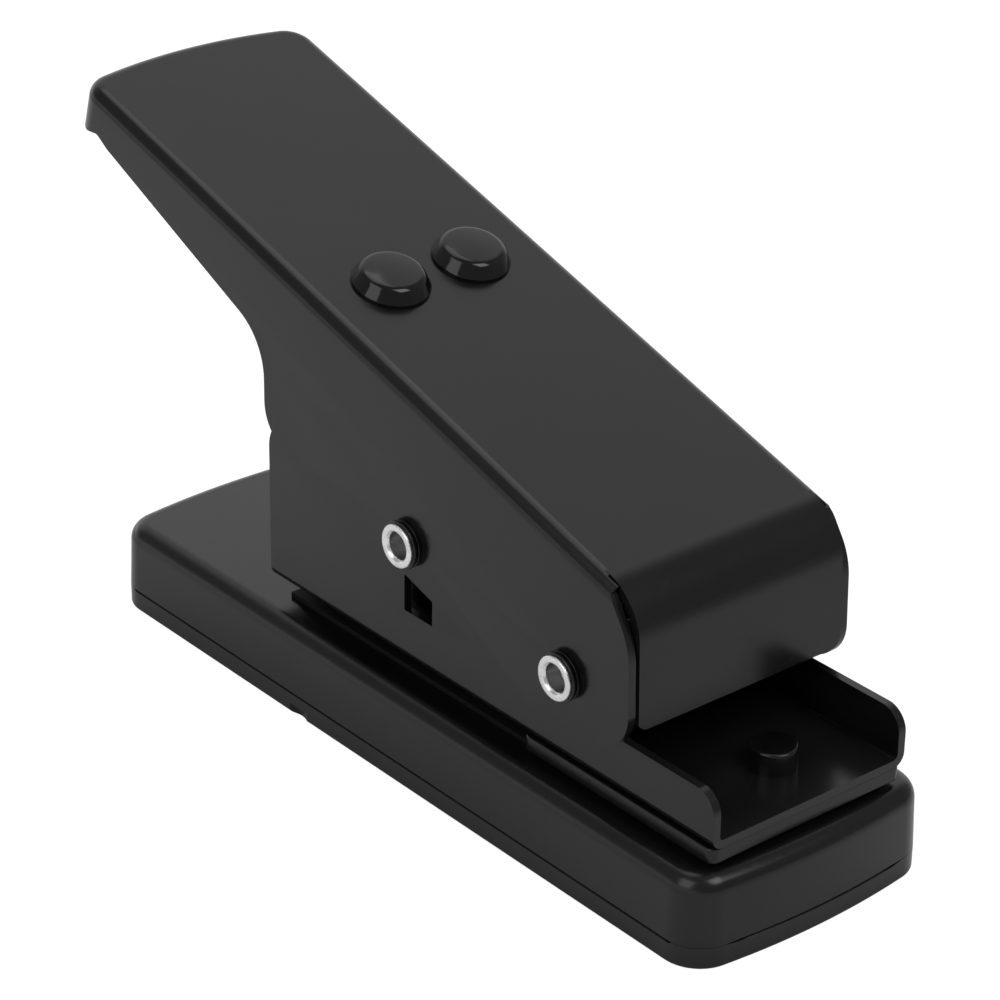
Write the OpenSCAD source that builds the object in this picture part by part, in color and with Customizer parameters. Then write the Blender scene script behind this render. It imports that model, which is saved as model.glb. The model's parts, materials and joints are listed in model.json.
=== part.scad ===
// Desk punch that cuts guitar picks out of plastic cards.
// X runs to the front, where the card stop plate shows, Y to the left, Z up.
// The origin is the middle of the underside.

/* [Base] */
// Length of the base over its bowed ends
base_l = 156.8; // [140:0.1:180]
// Width of the base
base_w = 51; // [48:0.1:60]
// Height of the base's flat top above the table
base_h = 16; // [14:0.1:22]
// Radius of the base's upright corners
base_corner_r = 7; // [4:0.1:10]
// Radius of the round edge along the base's top
base_edge_r = 3.2; // [1:0.1:5]
// Radius of the bow in the base's two ends
end_bow_r = 150; // [100:1:400]
// How much wider the base is at its seam than at its top edge, on each side
base_draft = 0.35; // [0:0.05:1]
// Wall of the base housing
base_wall = 2; // [1.5:0.1:3]
// Height of the seam between the housing and the bottom cover
seam_z = 4; // [3:0.1:6]
// Open seam above the bottom cover's rim
seam_gap = 0.25; // [0.1:0.05:0.4]

/* [Bottom cover] */
// Floor of the bottom cover
cover_floor = 1.8; // [1.2:0.1:2.5]
// How far the cover's inner lip reaches up into the housing
cover_lip_h = 3.6; // [2:0.1:5]
// Thickness of the cover's inner lip
cover_lip_t = 1.4; // [1:0.1:2]
// Slip between the cover's lip and the housing wall
cover_slip = 0.3; // [0.2:0.05:0.5]
// Radius of the round edge along the cover's underside
cover_edge_r = 0.6; // [0.5:0.1:1.6]
// Distance from the cover's middle back to its fingernail notch
nail_back = 22.5; // [10:1:60]
// Length of the fingernail notch
nail_l = 5; // [4:0.5:12]
// Depth of the fingernail notch into the rim
nail_depth = 0.8; // [0.3:0.1:1.5]

/* [Card and pick] */
// Width of the card that goes in from the side
card_w = 54; // [50:0.1:60]
// Play of the card between its stops
card_play = 1; // [0.5:0.1:2]
// How far the card slot's middle lies behind the punch's middle
card_back = 1.2; // [0:0.1:3]
// Height of the card slot
slot_h = 2.7; // [2.5:0.1:4.5]
// Length of the pick, from its tip to its broad end
pick_l = 30; // [26:0.1:31]
// Width of the pick
pick_w = 26; // [22:0.1:28]
// Radius of the pick's tip
pick_tip_r = 3.6; // [2:0.1:5]
// Radius of the pick's two shoulders
pick_shoulder_r = 6.5; // [4:0.1:9]
// Radius of the pick's bowed sides
pick_side_r = 40; // [30:1:80]
// Radius of the pick's bowed broad end
pick_end_r = 27; // [20:1:60]

/* [Die and stop plates] */
// Thickness of the die plate
die_t = 4; // [3:0.1:5]
// How far the die plate stands above the base's top
die_proud = 0.9; // [0.3:0.1:1.5]
// How far the die plate's edges lie inside the frame's sides and ends
die_inset = 2.4; // [0.8:0.1:4]
// Bevel along the die plate's top edges
die_bevel = 0.6; // [0.2:0.1:0.8]
// How far the front stop plate's sides lie inside the frame's sides
stop_inset = 0.2; // [0.2:0.05:2]
// How far the front stop plate's end lies behind the frame's front end
stop_back = 0.2; // [0.2:0.1:2]
// Corner radius of the stop plates
stop_corner_r = 1.5; // [0.5:0.1:3]
// Width of the rear stop plate, hidden under the frame
rear_stop_w = 26; // [20:0.5:34]
// Length of the rear stop plate
rear_stop_l = 9.4; // [7:0.1:11]

/* [Frame] */
// Length of the frame's folded channel
frame_l = 111; // [104:0.1:116]
// Width of the frame over its side walls
frame_w = 40.9; // [38:0.1:44]
// Distance from the base's back end to the frame's back edge
frame_setback = 41.9; // [38:0.1:50]
// Steel sheet that the frame and the lever are folded from
sheet = 1.5; // [1:0.1:2]
// Outside radius of the frame's long bends
frame_bend_r = 2.3; // [1.8:0.1:4]
// Height of the low front flanges, from the frame's underside
flange_h = 9.8; // [7:0.1:12]
// Height of the rear side walls, from the frame's underside
wall_h = 31.2; // [28:0.1:32]
// Radius of the side wall's rear top corner
wall_corner_r = 6; // [2:0.1:9]
// Radius of the flange's front top corner
flange_corner_r = 4; // [1:0.1:5]
// Radius of the side wall's rear bottom corner
foot_corner_r = 1.2; // [0.5:0.1:2]
// Where the wall's top starts to fall to the hinge, behind the hinge
wall_fall_back = 26; // [18:0.5:36]
// Radius of the wall around the hinge pin
hinge_boss_r = 9; // [7:0.1:11]
// Width of the upright slots for the drive pin
pin_slot_w = 7.2; // [6.8:0.1:8]
// Height of the slots' lower end above the frame's underside
pin_slot_foot = 9.5; // [7:0.1:10]

/* [Lever] */
// Distance from the frame's back edge to the hinge
hinge_from_back = 79.4; // [74:0.1:84]
// Height of the hinge above the frame's underside
hinge_rise = 17.6; // [14:0.1:19]
// Slope of the lever's top at rest
lever_rest = 16.1; // [12:0.1:20]
// Turn of the lever when it is pressed
lever_turn = 15; // [10:0.5:15]
// Gap between the frame's side walls and the lever's
lever_gap = 1.25; // [1:0.05:2]
// Length of the lever behind the hinge
lever_back = 141.8; // [120:0.1:160]
// Height of the lever's top above the hinge
lever_rise = 21.6; // [18:0.1:26]
// Outside radius of the lever's long bends
lever_bend_r = 2.6; // [1.8:0.1:4]
// Radius of the handle's two end corners, seen from above
handle_corner_r = 5.5; // [3:0.1:9]
// Radius of the bow in the handle's end
handle_bow_r = 107; // [80:1:300]
// Outside radius of the fold into the front flap
fold_r = 10; // [6:0.1:13]
// Where the fold starts, in front of the hinge
fold_front = 1.8; // [0:0.1:3]
// Angle that the front flap is folded down by
fold_angle = 72; // [60:1:90]
// Straight length of the front flap below its fold
flap_l = 14.8; // [10:0.1:18]
// Radius of the flap's lower corners
flap_corner_r = 1.8; // [0.5:0.1:4]
// Open seam between the flap and each side wall
flap_seam = 0.35; // [0.1:0.05:1]
// Where the side walls start to slope down, in front of the hinge
nose_start = 4.4; // [1:0.1:5]
// Drop of the side walls' front ends below the lever's top, where they start
nose_notch = 1.4; // [0.5:0.1:2.5]
// Angle that the side walls' front ends slope down by
nose_slope = 40; // [35:1:60]
// Radius between that slope and the upright front edge
nose_bend_r = 12; // [4:0.5:14]
// How far the side walls' front edges stand behind the flap's face
nose_back = 0.4; // [0:0.05:1.4]
// Radius of the side wall's lower front corner
nose_r = 7.2; // [3:0.1:10]
// Depth of the side wall below the hinge, at the rear
skirt_rear = 9.6; // [8:0.1:13]
// Depth of the side wall below the hinge, where the nose edge meets it
skirt_front = 10.3; // [9:0.1:14]
// Where the nose edge meets the lower edge, behind the hinge
nose_edge_back = 6; // [4:0.1:20]
// Depth of the nose corner below the hinge
nose_drop = 3.7; // [2:0.1:7]
// Where the deep side wall ends, behind the hinge
skirt_end_back = 77.1; // [70:0.1:79]
// Radius of the side wall's lower rear corner
skirt_corner_r = 7.5; // [2:0.1:9]
// Where the handle's shallow skirt starts, behind the hinge
handle_start_back = 81.7; // [80:0.1:100]
// Depth of the handle's skirt below the lever's top where it starts
handle_depth = 15.2; // [10:0.1:18]
// Depth of the handle's skirt where it ends before the end lip
handle_end_depth = 8.5; // [5:0.1:12]
// Distance from the handle's end to the relief before its lip
relief_back = 8.7; // [7:0.1:12]
// Half of the relief's length
relief_half = 3.4; // [2:0.1:5]
// Depth of the skirt at the top of the relief
relief_depth = 7.5; // [4:0.1:9]
// Radius of the hollow of the relief
relief_r = 3; // [1:0.1:6]
// Depth of the lip at the handle's end
lip_depth = 8.8; // [5:0.1:12]
// Radius of the hollow curve between the side wall and the handle
throat_r = 11; // [5:0.1:15]

/* [Stiffener and rivets] */
// Where the lever's two rivets are, behind the hinge
rivet_back = 70.3; // [64:0.1:76]
// Distance from the lever's middle to each rivet
rivet_side = 8.4; // [7.5:0.1:10]
// Diameter of the rivet heads
rivet_head_d = 13.5; // [11:0.1:14.5]
// Height of the rivet heads
rivet_head_h = 3.2; // [2:0.1:4]
// How far the heads' flanks lean in
rivet_flank = 1.3; // [0.4:0.1:2]
// Upright foot of the heads' flanks
rivet_foot = 0.4; // [0.2:0.1:1]
// Rise of the heads' crowns above their top edge
rivet_crown = 0.3; // [0.1:0.1:0.8]
// Radius of the heads' top edge
rivet_edge_r = 1; // [0.4:0.1:1.6]
// Diameter of the rivet shanks
rivet_shank_d = 6; // [4:0.1:7]
// Height and spread of the rivets' flattened tails
rivet_tail = 1.5; // [0.8:0.1:2]
// Length of the stiffener under the lever's top
stiffener_l = 46; // [36:0.5:50]
// Width of the stiffener
stiffener_w = 32; // [28:0.5:34]
// Depth of the stiffener's folded lips
stiffener_lip = 5; // [3:0.1:6]

/* [Pins] */
// Diameter of the hinge pin
hinge_pin_d = 6; // [5:0.1:7]
// Diameter of the drive pin
drive_pin_d = 5.5; // [4.5:0.1:6]
// Distance along the lever from the hinge back to the drive pin
drive_back = 39.2; // [36:0.1:42]
// Distance from the hinge down to the drive pin, square to the lever's top
drive_drop = 4.3; // [3:0.1:5]
// Diameter of the pins' flared heads
pin_head_d = 7.5; // [7:0.1:10]
// Thickness of the pins' flared heads
pin_head_t = 0.6; // [0.5:0.1:3]
// Bevel along both edges of the heads
pin_flare = 0.36; // [0.1:0.01:0.45]
// Diameter of the hole in the pins' tubular ends
pin_hole_d = 4.6; // [3:0.1:4.6]
// Depth of the hole in the pins' tubular ends
pin_hole_depth = 3.5; // [2:0.1:6]
// Diameter of the washers under the heads
washer_d = 8.3; // [7.8:0.1:12]
// Thickness of the washers
washer_t = 1.5; // [0.5:0.1:1.8]
// Outside diameter of the sleeves on the pins
sleeve_d = 8.4; // [7.5:0.1:9]

/* [Punch] */
// Height of the punch's edge above the card slot's roof, at rest
punch_lift = 1.2; // [0.6:0.1:1.4]
// Height of the punch
punch_h = 15.6; // [14:0.1:17]
// Thickness of the guide plate on the frame's floor
guide_t = 4; // [3:0.1:4.2]
// How far the guide plate reaches past the holder's ends
guide_over = 2; // [1:0.1:3]
// Slip of the punch in the die, the guide and the frame's floor
punch_slip = 0.12; // [0.08:0.01:0.2]
// Length and width of the punch holder's block
holder_block = 18; // [16:0.5:20]
// Thickness of the punch holder's spring arms
holder_arm_t = 3.5; // [2.5:0.1:4]
// Width of the punch holder's spring arms
holder_arm_w = 14; // [12:0.5:18]
// Height of the punch holder's block
holder_h = 13.4; // [12.5:0.1:14]
// Gap between the punch and each return spring
spring_clear = 2.1; // [1:0.1:3]
// Distance from the holder's ends to the middle of each return spring
spring_inset = 4.5; // [4:0.1:5]
// Diameter of the screws that hold the punch
punch_screw_d = 3; // [2.5:0.1:3.2]

/* [Springs] */
// Mean diameter of the return springs
spring_d = 7.8; // [7:0.1:8.4]
// Wire of the return springs
spring_wire_d = 1; // [0.7:0.1:1.1]
// Curls of each return spring
spring_turns = 7; // [5:1:8]
// Diameter of the posts inside the springs
post_d = 4.8; // [4:0.1:5.4]
// Height of the posts' tapered tips
post_tip_h = 1.2; // [0.5:0.1:2]

/* [Fasteners] */
// Diameter of the round stud on the frame's front floor
stud_d = 7.8; // [6:0.1:9]
// Height of the stud above the floor
stud_h = 4; // [3:0.1:6]
// Bevel along the stud's top edge
stud_edge = 0.4; // [0.2:0.1:1]
// Distance from the frame's front end to the stud
stud_from_front = 10.9; // [8:0.1:14]
// Distance of the stud from the middle, to the left
stud_side = 2.5; // [0:0.1:4]
// Diameter of the stud's shank and of the rear rivets' shanks
shank_d = 4; // [3:0.1:5]
// Diameter of the rear rivets' heads
rear_head_d = 7; // [5.5:0.1:8]
// Height of the rear rivets' heads
rear_head_h = 1.8; // [1:0.1:2.5]
// Distance from the middle to each rear rivet
rear_rivet_side = 7; // [6:0.1:8]
// Diameter of the screws that hold the base to the die plate
base_screw_d = 3; // [2.5:0.1:3.5]
// Diameter of those screws' heads
base_head_d = 5.6; // [5:0.1:6.5]
// Height of those screws' heads
base_head_h = 2; // [1.5:0.1:2.4]
// Distance from the middle to each of those screws
base_screw_side = 13.6; // [12:0.1:14]

/* [Hidden] */
$fn = 64;
arc_steps = 10;
edge_steps = 5;
corner_steps = 8;
bow_steps = 8;
overrun = 1;
press_gap = 0.02;
pin_slip = 0.06;
loose = 0.3;
part_gap = 0.3;
steel_black = [0.12, 0.12, 0.13];
plastic_black = [0.15, 0.15, 0.16];
steel_bare = [0.72, 0.73, 0.75];

frame_x0 = -base_l / 2 + frame_setback;
frame_x1 = frame_x0 + frame_l;
die_z1 = base_h + die_proud;
die_z0 = die_z1 - die_t;
frame_z0 = die_z1 + slot_h;
floor_z1 = frame_z0 + sheet;
inner_y = frame_w / 2 - sheet;
hinge_x = frame_x0 + hinge_from_back;
hinge_z = frame_z0 + hinge_rise;

// The drive pin's arc about the hinge
drive_r = norm([drive_back, drive_drop]);
drive_rest = lever_rest - atan2(drive_drop, drive_back);
drive_x = hinge_x - drive_r * cos(drive_rest);
drive_z = hinge_z + drive_r * sin(drive_rest);
drive_shift = drive_r * (1 - cos(drive_rest));
drive_stroke = drive_r * (sin(drive_rest) - sin(drive_rest - lever_turn));
punch_x = drive_x - drive_shift / 2;

front_stop_x = punch_x - card_back + (card_w + card_play) / 2;
rear_stop_x = punch_x - card_back - (card_w + card_play) / 2;
stop_x1 = frame_x1 - stop_back;
guide_z1 = floor_z1 + guide_t;
punch_z0 = frame_z0 + punch_lift;
holder_z0 = punch_z0 + punch_h;
holder_z1 = holder_z0 + holder_h;
arm_z0 = holder_z1 - holder_arm_t;
chamber_z1 = die_z0 - base_wall;
die_x0 = frame_x0 + die_inset;
die_x1 = stop_x1 - die_inset;
die_w = frame_w - 2 * die_inset;
stop_w = frame_w - 2 * stop_inset;
stud_x = frame_x1 - stud_from_front;
spring_side = (pick_l + spring_d + spring_wire_d) / 2 + spring_clear;
holder_l = 2 * (spring_side + spring_inset);
guide_l = holder_l + 2 * guide_over;
rear_rivet_x = rear_stop_x - rear_stop_l / 2;
front_screw_x = stud_x;
lever_w = frame_w + 2 * (sheet + lever_gap);
lever_inner_y = lever_w / 2 - sheet;
washer_y = lever_w / 2 + press_gap;
head_y = washer_y + washer_t + press_gap;

echo(stroke_mm = drive_stroke, turn_deg = lever_turn);
echo(drive_pin = [drive_x, drive_z], hinge = [hinge_x, hinge_z]);
echo(punch_x = punch_x, frame_x = [frame_x0, frame_x1], rear_stop_x = rear_stop_x, guide_top = guide_z1);
echo(levels = [die_z0, die_z1, frame_z0, floor_z1, chamber_z1, cover_floor]);

// Unit vector along v
function unit(v) = v / norm(v);

// Unit vector at the angle a
function toward(a) = [cos(a), sin(a)];

// Points of the arc that rounds corner b of the path a, b, c with radius r
function corner_arc(a, b, c, r) =
    let (u = unit(a - b), v = unit(c - b), half = acos(u * v) / 2,
         o = b + unit(u + v) * r / sin(half),
         s = b + u * r / tan(half) - o, e = b + v * r / tan(half) - o,
         start = atan2(s[1], s[0]), sweep = atan2(cross(s, e), s * e))
    [for (i = [0:arc_steps]) o + r * toward(start + sweep * i / arc_steps)];

// A closed path of [x, y, corner radius] rows, with its corners rounded
function rounded(path) =
    let (n = len(path))
    [for (i = [0:n - 1])
        let (a = path[(i + n - 1) % n], b = path[i], c = path[(i + 1) % n])
        each b[2] > 0 ? corner_arc([a[0], a[1]], [b[0], b[1]], [c[0], c[1]], b[2]) : [[b[0], b[1]]]];

// Places its children in the lever's own axes: hinge at the origin, top level
module at_lever() {
    translate([hinge_x, 0, hinge_z]) rotate([0, lever_rest, 0]) children();
}

// A cylinder along Y, centred on y = 0
module cross_cylinder(r, length) {
    rotate([90, 0, 0]) cylinder(r = r, h = length, center = true);
}

// Its children on both sides of the middle plane
module both_sides() {
    children();
    mirror([0, 1, 0]) children();
}

// A side view drawn in x and z, made a plate of the given width about y = 0
module side_cut(width) {
    rotate([90, 0, 0]) linear_extrude(width, center = true) children();
}

// One bowed end with two rounded corners, from the left side round to the right, at the end x = end_x
function bowed_end(end_x, half_w, bow_r, corner_r, inset) =
    let (mid_x = end_x + bow_r, corner_y = half_w - corner_r, reach = bow_r - corner_r,
         lean = asin(corner_y / reach), corner_x = mid_x - reach * cos(lean), r = corner_r - inset)
    concat([for (i = [0:corner_steps]) let (a = 90 + (90 - lean) * i / corner_steps)
                [corner_x, corner_y] + r * toward(a)],
           [for (i = [1:bow_steps - 1]) let (a = 180 - lean + 2 * lean * i / bow_steps)
                [mid_x, 0] + (bow_r - inset) * toward(a)],
           [for (i = [0:corner_steps]) let (a = 180 + lean + (90 - lean) * i / corner_steps)
                [corner_x, -corner_y] + r * toward(a)]);

// Outline of the base from above, drawn in by inset
function base_path(inset) =
    let (half = bowed_end(-base_l / 2, base_w / 2, end_bow_r, base_corner_r, inset))
    concat(half, [for (p = half) -p]);

// A ring of points at the height z
function lifted(path, z) = [for (p = path) [p[0], p[1], z]];

// Solid between closed rings of points, foot ring first, all rings with the same count
module ring_solid(rings) {
    n = len(rings[0]);
    last = len(rings) - 1;
    sides = [for (i = [0:last - 1]) for (k = [0:n - 1])
        let (m = (k + 1) % n, a = i * n, b = a + n)
        each [[a + k, b + m, a + m], [a + k, b + k, b + m]]];
    foot = [for (k = [0:n - 1]) k];
    lid = [for (k = [n - 1:-1:0]) last * n + k];
    polyhedron(points = [for (ring = rings) each ring], faces = concat([foot], sides, [lid]));
}

module base_prism(inset, z0, z1) {
    translate([0, 0, z0]) linear_extrude(z1 - z0) polygon(base_path(inset));
}

module base_screw_spots() {
    for (x = [rear_rivet_x, front_screw_x]) for (side = [-1, 1])
        translate([x, side * base_screw_side, 0]) children();
}

// The pick's outline with its tip towards the front, drawn out by grow
module pick_outline(grow) {
    tip_x = pick_l / 2 - pick_tip_r;
    shoulder_x = pick_shoulder_r - pick_l / 2;
    shoulder_y = pick_w / 2 - pick_shoulder_r;
    polygon(pick_points(tip_x, shoulder_x, shoulder_y, grow));
}

// Arc of radius r that joins two circles tangent to it from inside, from circle a to circle b
function tangent_arc(a, ra, b, rb, r) =
    let (d = norm(b - a), p = r - ra, q = r - rb, x = (d * d + p * p - q * q) / (2 * d),
         y = sqrt(p * p - x * x), u = (b - a) / d, o = a + u * x + [-u[1], u[0]] * y,
         start = atan2(a[1] - o[1], a[0] - o[0]), sweep = atan2(cross(a - o, b - o), (a - o) * (b - o)))
    [for (i = [0:arc_steps]) [o, start + sweep * i / arc_steps]];

function pick_points(tip_x, shoulder_x, shoulder_y, grow) =
    let (tip = [tip_x, 0], left = [shoulder_x, shoulder_y], right = [shoulder_x, -shoulder_y],
         runs = [[tangent_arc(tip, pick_tip_r, left, pick_shoulder_r, pick_side_r), pick_side_r],
                 [tangent_arc(left, pick_shoulder_r, right, pick_shoulder_r, pick_end_r), pick_end_r],
                 [tangent_arc(right, pick_shoulder_r, tip, pick_tip_r, pick_side_r), pick_side_r]],
         ends = [left, right, tip], radii = [pick_shoulder_r, pick_shoulder_r, pick_tip_r])
    [for (k = [0:2])
        let (run = runs[k][0], r = runs[k][1] + grow, last = run[arc_steps][1],
             next = runs[(k + 1) % 3][0][0][1], turn = (next - last + 720) % 360)
        each concat([for (p = run) p[0] + r * toward(p[1])],
                    [for (i = [1:arc_steps - 1])
                        ends[k] + (radii[k] + grow) * toward(last + turn * i / arc_steps)])];

// A prism of the pick's outline at the punch
module pick_prism(grow, z0, z1) {
    translate([punch_x, 0, z0]) linear_extrude(z1 - z0) pick_outline(grow);
}

module base_housing() {
    edge_rings = [for (i = [0:edge_steps])
        let (lean = 90 * i / edge_steps, inset = base_draft + base_edge_r * (1 - cos(lean)))
        lifted(base_path(inset), base_h - base_edge_r * (1 - sin(lean)))];
    color(plastic_black) difference() {
        ring_solid(concat([lifted(base_path(0), seam_z)], edge_rings));
        base_prism(base_wall + base_draft, seam_z - overrun, chamber_z1);
        translate([die_x0 - press_gap, -die_w / 2 - press_gap, die_z0])
            cube([die_x1 - die_x0 + 2 * press_gap, die_w + 2 * press_gap, die_t]);
        pick_prism(base_wall, chamber_z1 - overrun, die_z0 + overrun);
        base_screw_spots() translate([0, 0, chamber_z1 - overrun])
            cylinder(d = base_screw_d + 2 * press_gap, h = base_wall + 2 * overrun);
        for (side = [-1, 1]) translate([rear_rivet_x, side * rear_rivet_side, chamber_z1 - overrun])
            cylinder(d = rear_head_d + 2 * loose, h = base_wall + 2 * overrun);
        translate([stud_x, stud_side, chamber_z1 - overrun])
            cylinder(d = stud_d + 2 * loose, h = base_wall + 2 * overrun);
    }
}

module bottom_cover() {
    lip_inset = base_wall + base_draft + cover_slip;
    foot_rings = [for (i = [0:edge_steps]) let (lean = 90 * i / edge_steps)
        lifted(base_path(cover_edge_r * (1 - sin(lean))), cover_edge_r * (1 - cos(lean)))];
    nail_r = (nail_l * nail_l / 4 + nail_depth * nail_depth) / (2 * nail_depth);
    color(plastic_black) difference() {
        union() {
            ring_solid(concat(foot_rings, [lifted(base_path(0), seam_z - seam_gap)]));
            base_prism(lip_inset, cover_edge_r, seam_z + cover_lip_h);
        }
        base_prism(lip_inset + cover_lip_t, cover_floor, seam_z + cover_lip_h + overrun);
        translate([-nail_back, -base_w / 2 + nail_depth - nail_r, 0]) cylinder(r = nail_r, h = cover_floor);
    }
}

module die_plate() {
    color(steel_black) difference() {
        hull() {
            translate([die_x0, -die_w / 2, die_z0]) cube([die_x1 - die_x0, die_w, die_t - die_bevel]);
            translate([die_x0 + die_bevel, -die_w / 2 + die_bevel, die_z0])
                cube([die_x1 - die_x0 - 2 * die_bevel, die_w - 2 * die_bevel, die_t]);
        }
        pick_prism(punch_slip, die_z0 - overrun, die_z1 + overrun);
        base_screw_spots() translate([0, 0, die_z0 - overrun])
            cylinder(d = base_screw_d + 2 * press_gap, h = die_t - die_bevel + overrun);
        for (side = [-1, 1]) translate([rear_rivet_x, side * rear_rivet_side, die_z0 - overrun])
            cylinder(d = shank_d + 2 * press_gap, h = die_t + 2 * overrun);
        translate([stud_x, stud_side, die_z0 - overrun])
            cylinder(d = shank_d + 2 * press_gap, h = die_t + 2 * overrun);
    }
}

// A flat plate between the die plate and the frame, with rounded upright corners
module stop_plate(x0, x1, width) {
    path = [[x0, -width / 2, stop_corner_r], [x1, -width / 2, stop_corner_r],
            [x1, width / 2, stop_corner_r], [x0, width / 2, stop_corner_r]];
    translate([0, 0, die_z1]) linear_extrude(slot_h) polygon(rounded(path));
}

module front_stop_plate() {
    color(steel_black) difference() {
        stop_plate(front_stop_x, stop_x1, stop_w);
        translate([stud_x, stud_side, die_z1 - overrun])
            cylinder(d = shank_d + 2 * press_gap, h = slot_h + 2 * overrun);
    }
}

module rear_stop_plate() {
    color(steel_black) difference() {
        stop_plate(rear_stop_x - rear_stop_l, rear_stop_x, rear_stop_w);
        for (side = [-1, 1]) translate([rear_rivet_x, side * rear_rivet_side, die_z1 - overrun])
            cylinder(d = shank_d + 2 * press_gap, h = slot_h + 2 * overrun);
    }
}

// Cross-section of a folded channel, open at the top, in y and z
module channel_section(width, height, bend_r) {
    half = width / 2;
    inner = half - sheet;
    inner_r = bend_r - sheet;
    top = height + overrun;
    difference() {
        polygon(rounded([[-half, 0, bend_r], [half, 0, bend_r], [half, height, 0], [-half, height, 0]]));
        polygon(rounded([[-inner, sheet, inner_r], [inner, sheet, inner_r],
                         [inner, top, 0], [-inner, top, 0]]));
    }
}

// Side view of the frame's walls
module frame_profile() {
    boss_x = hinge_x + hinge_boss_r;
    boss_z = hinge_rise + hinge_boss_r;
    polygon(rounded([[frame_x0, 0, foot_corner_r], [frame_x1, 0, 0], [frame_x1, flange_h, flange_corner_r],
                     [boss_x, flange_h, foot_corner_r], [boss_x, boss_z, hinge_boss_r],
                     [hinge_x - hinge_boss_r, boss_z, hinge_boss_r],
                     [hinge_x - wall_fall_back, wall_h, wall_corner_r],
                     [frame_x0, wall_h, wall_corner_r]]));
}

module frame_channel() {
    slot_z0 = frame_z0 + pin_slot_foot;
    slot_z1 = drive_z + drive_pin_d / 2 + loose;
    color(steel_black) difference() {
        intersection() {
            translate([frame_x0, 0, frame_z0]) rotate([90, 0, 90])
                linear_extrude(frame_l) channel_section(frame_w, wall_h, frame_bend_r);
            translate([0, 0, frame_z0]) side_cut(frame_w + overrun) frame_profile();
        }
        translate([hinge_x, 0, hinge_z]) cross_cylinder(hinge_pin_d / 2 + press_gap, frame_w + overrun);
        translate([punch_x - pin_slot_w / 2, -frame_w / 2 - overrun, slot_z0])
            cube([pin_slot_w, frame_w + 2 * overrun, slot_z1 - slot_z0]);
        pick_prism(punch_slip, frame_z0 - overrun, floor_z1 + overrun);
        for (side = [-1, 1]) {
            translate([rear_rivet_x, side * rear_rivet_side, frame_z0 - overrun])
                cylinder(d = shank_d + 2 * press_gap, h = sheet + 2 * overrun);
            translate([punch_x + side * spring_side, 0, frame_z0 - overrun])
                cylinder(d = post_d + 2 * press_gap, h = sheet + 2 * overrun);
        }
        translate([stud_x, stud_side, frame_z0 - overrun])
            cylinder(d = shank_d + 2 * press_gap, h = sheet + 2 * overrun);
    }
}

// Places of the two small screws that hold the guide plate
module guide_screw_spots() {
    for (side = [-1, 1])
        translate([punch_x + side * (guide_l / 2 - punch_screw_d), side * inner_y / 2, 0]) children();
}

module guide_plate() {
    width = 2 * (inner_y - loose);
    color(steel_bare) difference() {
        translate([punch_x - guide_l / 2, -width / 2, floor_z1]) cube([guide_l, width, guide_t]);
        pick_prism(punch_slip, floor_z1 - overrun, guide_z1 + overrun);
        for (side = [-1, 1]) translate([punch_x + side * spring_side, 0, floor_z1 - overrun])
            cylinder(d = post_d + 2 * press_gap, h = guide_t + 2 * overrun);
        guide_screw_spots() translate([0, 0, floor_z1 - overrun])
            cylinder(d = punch_screw_d + 2 * press_gap, h = guide_t + 2 * overrun);
    }
}

// A pan-head screw that points down from its head's seat at z = 0
module screw(d, head_d, head_h, length) {
    difference() {
        union() {
            translate([0, 0, -length]) cylinder(d = d, h = length);
            cylinder(d = head_d, h = head_h);
        }
        translate([0, 0, head_h / 2]) cylinder(d = d, h = head_h, $fn = 6);
    }
}

module guide_screws() {
    color(steel_bare) guide_screw_spots() translate([0, 0, guide_z1 + press_gap])
        screw(punch_screw_d, base_head_d, base_head_h, guide_t - press_gap);
}

module spring_posts() {
    color(steel_bare) for (side = [-1, 1]) translate([punch_x + side * spring_side, 0, frame_z0]) {
        cylinder(d = post_d, h = holder_z1 - frame_z0);
        translate([0, 0, holder_z1 - frame_z0]) cylinder(d1 = post_d, d2 = post_d / 2, h = post_tip_h);
    }
}

// Points on the wire's middle line of one return spring
spring_rings = 8 * spring_turns;
spring_z0 = guide_z1 + spring_wire_d / 2 + press_gap;
spring_z1 = arm_z0 - spring_wire_d / 2 - press_gap;
function spring_mid(i) =
    let (a = 360 * spring_turns * i / spring_rings)
    [spring_d / 2 * cos(a), spring_d / 2 * sin(a), spring_z0 + (spring_z1 - spring_z0) * i / spring_rings];
spring_line = [for (i = [0:spring_rings]) spring_mid(i)];
spring_reach = min([for (i = [0:spring_rings]) for (j = [i + 5:1:spring_rings])
    norm(spring_line[i] - spring_line[j])]);
spring_gap = spring_reach - spring_wire_d;
echo(return_spring_least_gap_mm = spring_gap);

// Ring i of the wire: six points in the plane of the spring's axis
wire_sides = 6;
function wire_ring(i) =
    let (a = 360 * spring_turns * i / spring_rings, out = [cos(a), sin(a), 0])
    [for (k = [0:wire_sides - 1]) let (b = 360 * k / wire_sides)
        spring_line[i] + spring_wire_d / 2 * (out * cos(b) + [0, 0, sin(b)])];

module spring() {
    points = [for (i = [0:spring_rings]) each wire_ring(i)];
    sides = [for (i = [0:spring_rings - 1]) for (k = [0:wire_sides - 1])
        let (m = (k + 1) % wire_sides, a = i * wire_sides, b = a + wire_sides)
        each [[a + k, a + m, b + m], [a + k, b + m, b + k]]];
    last = spring_rings * wire_sides;
    ends = [for (k = [1:wire_sides - 2]) each [[0, k + 1, k], [last, last + k, last + k + 1]]];
    polyhedron(points = points, faces = concat(sides, ends));
}

module return_springs() {
    color(steel_bare) for (side = [-1, 1]) translate([punch_x + side * spring_side, 0, 0]) spring();
}

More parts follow.
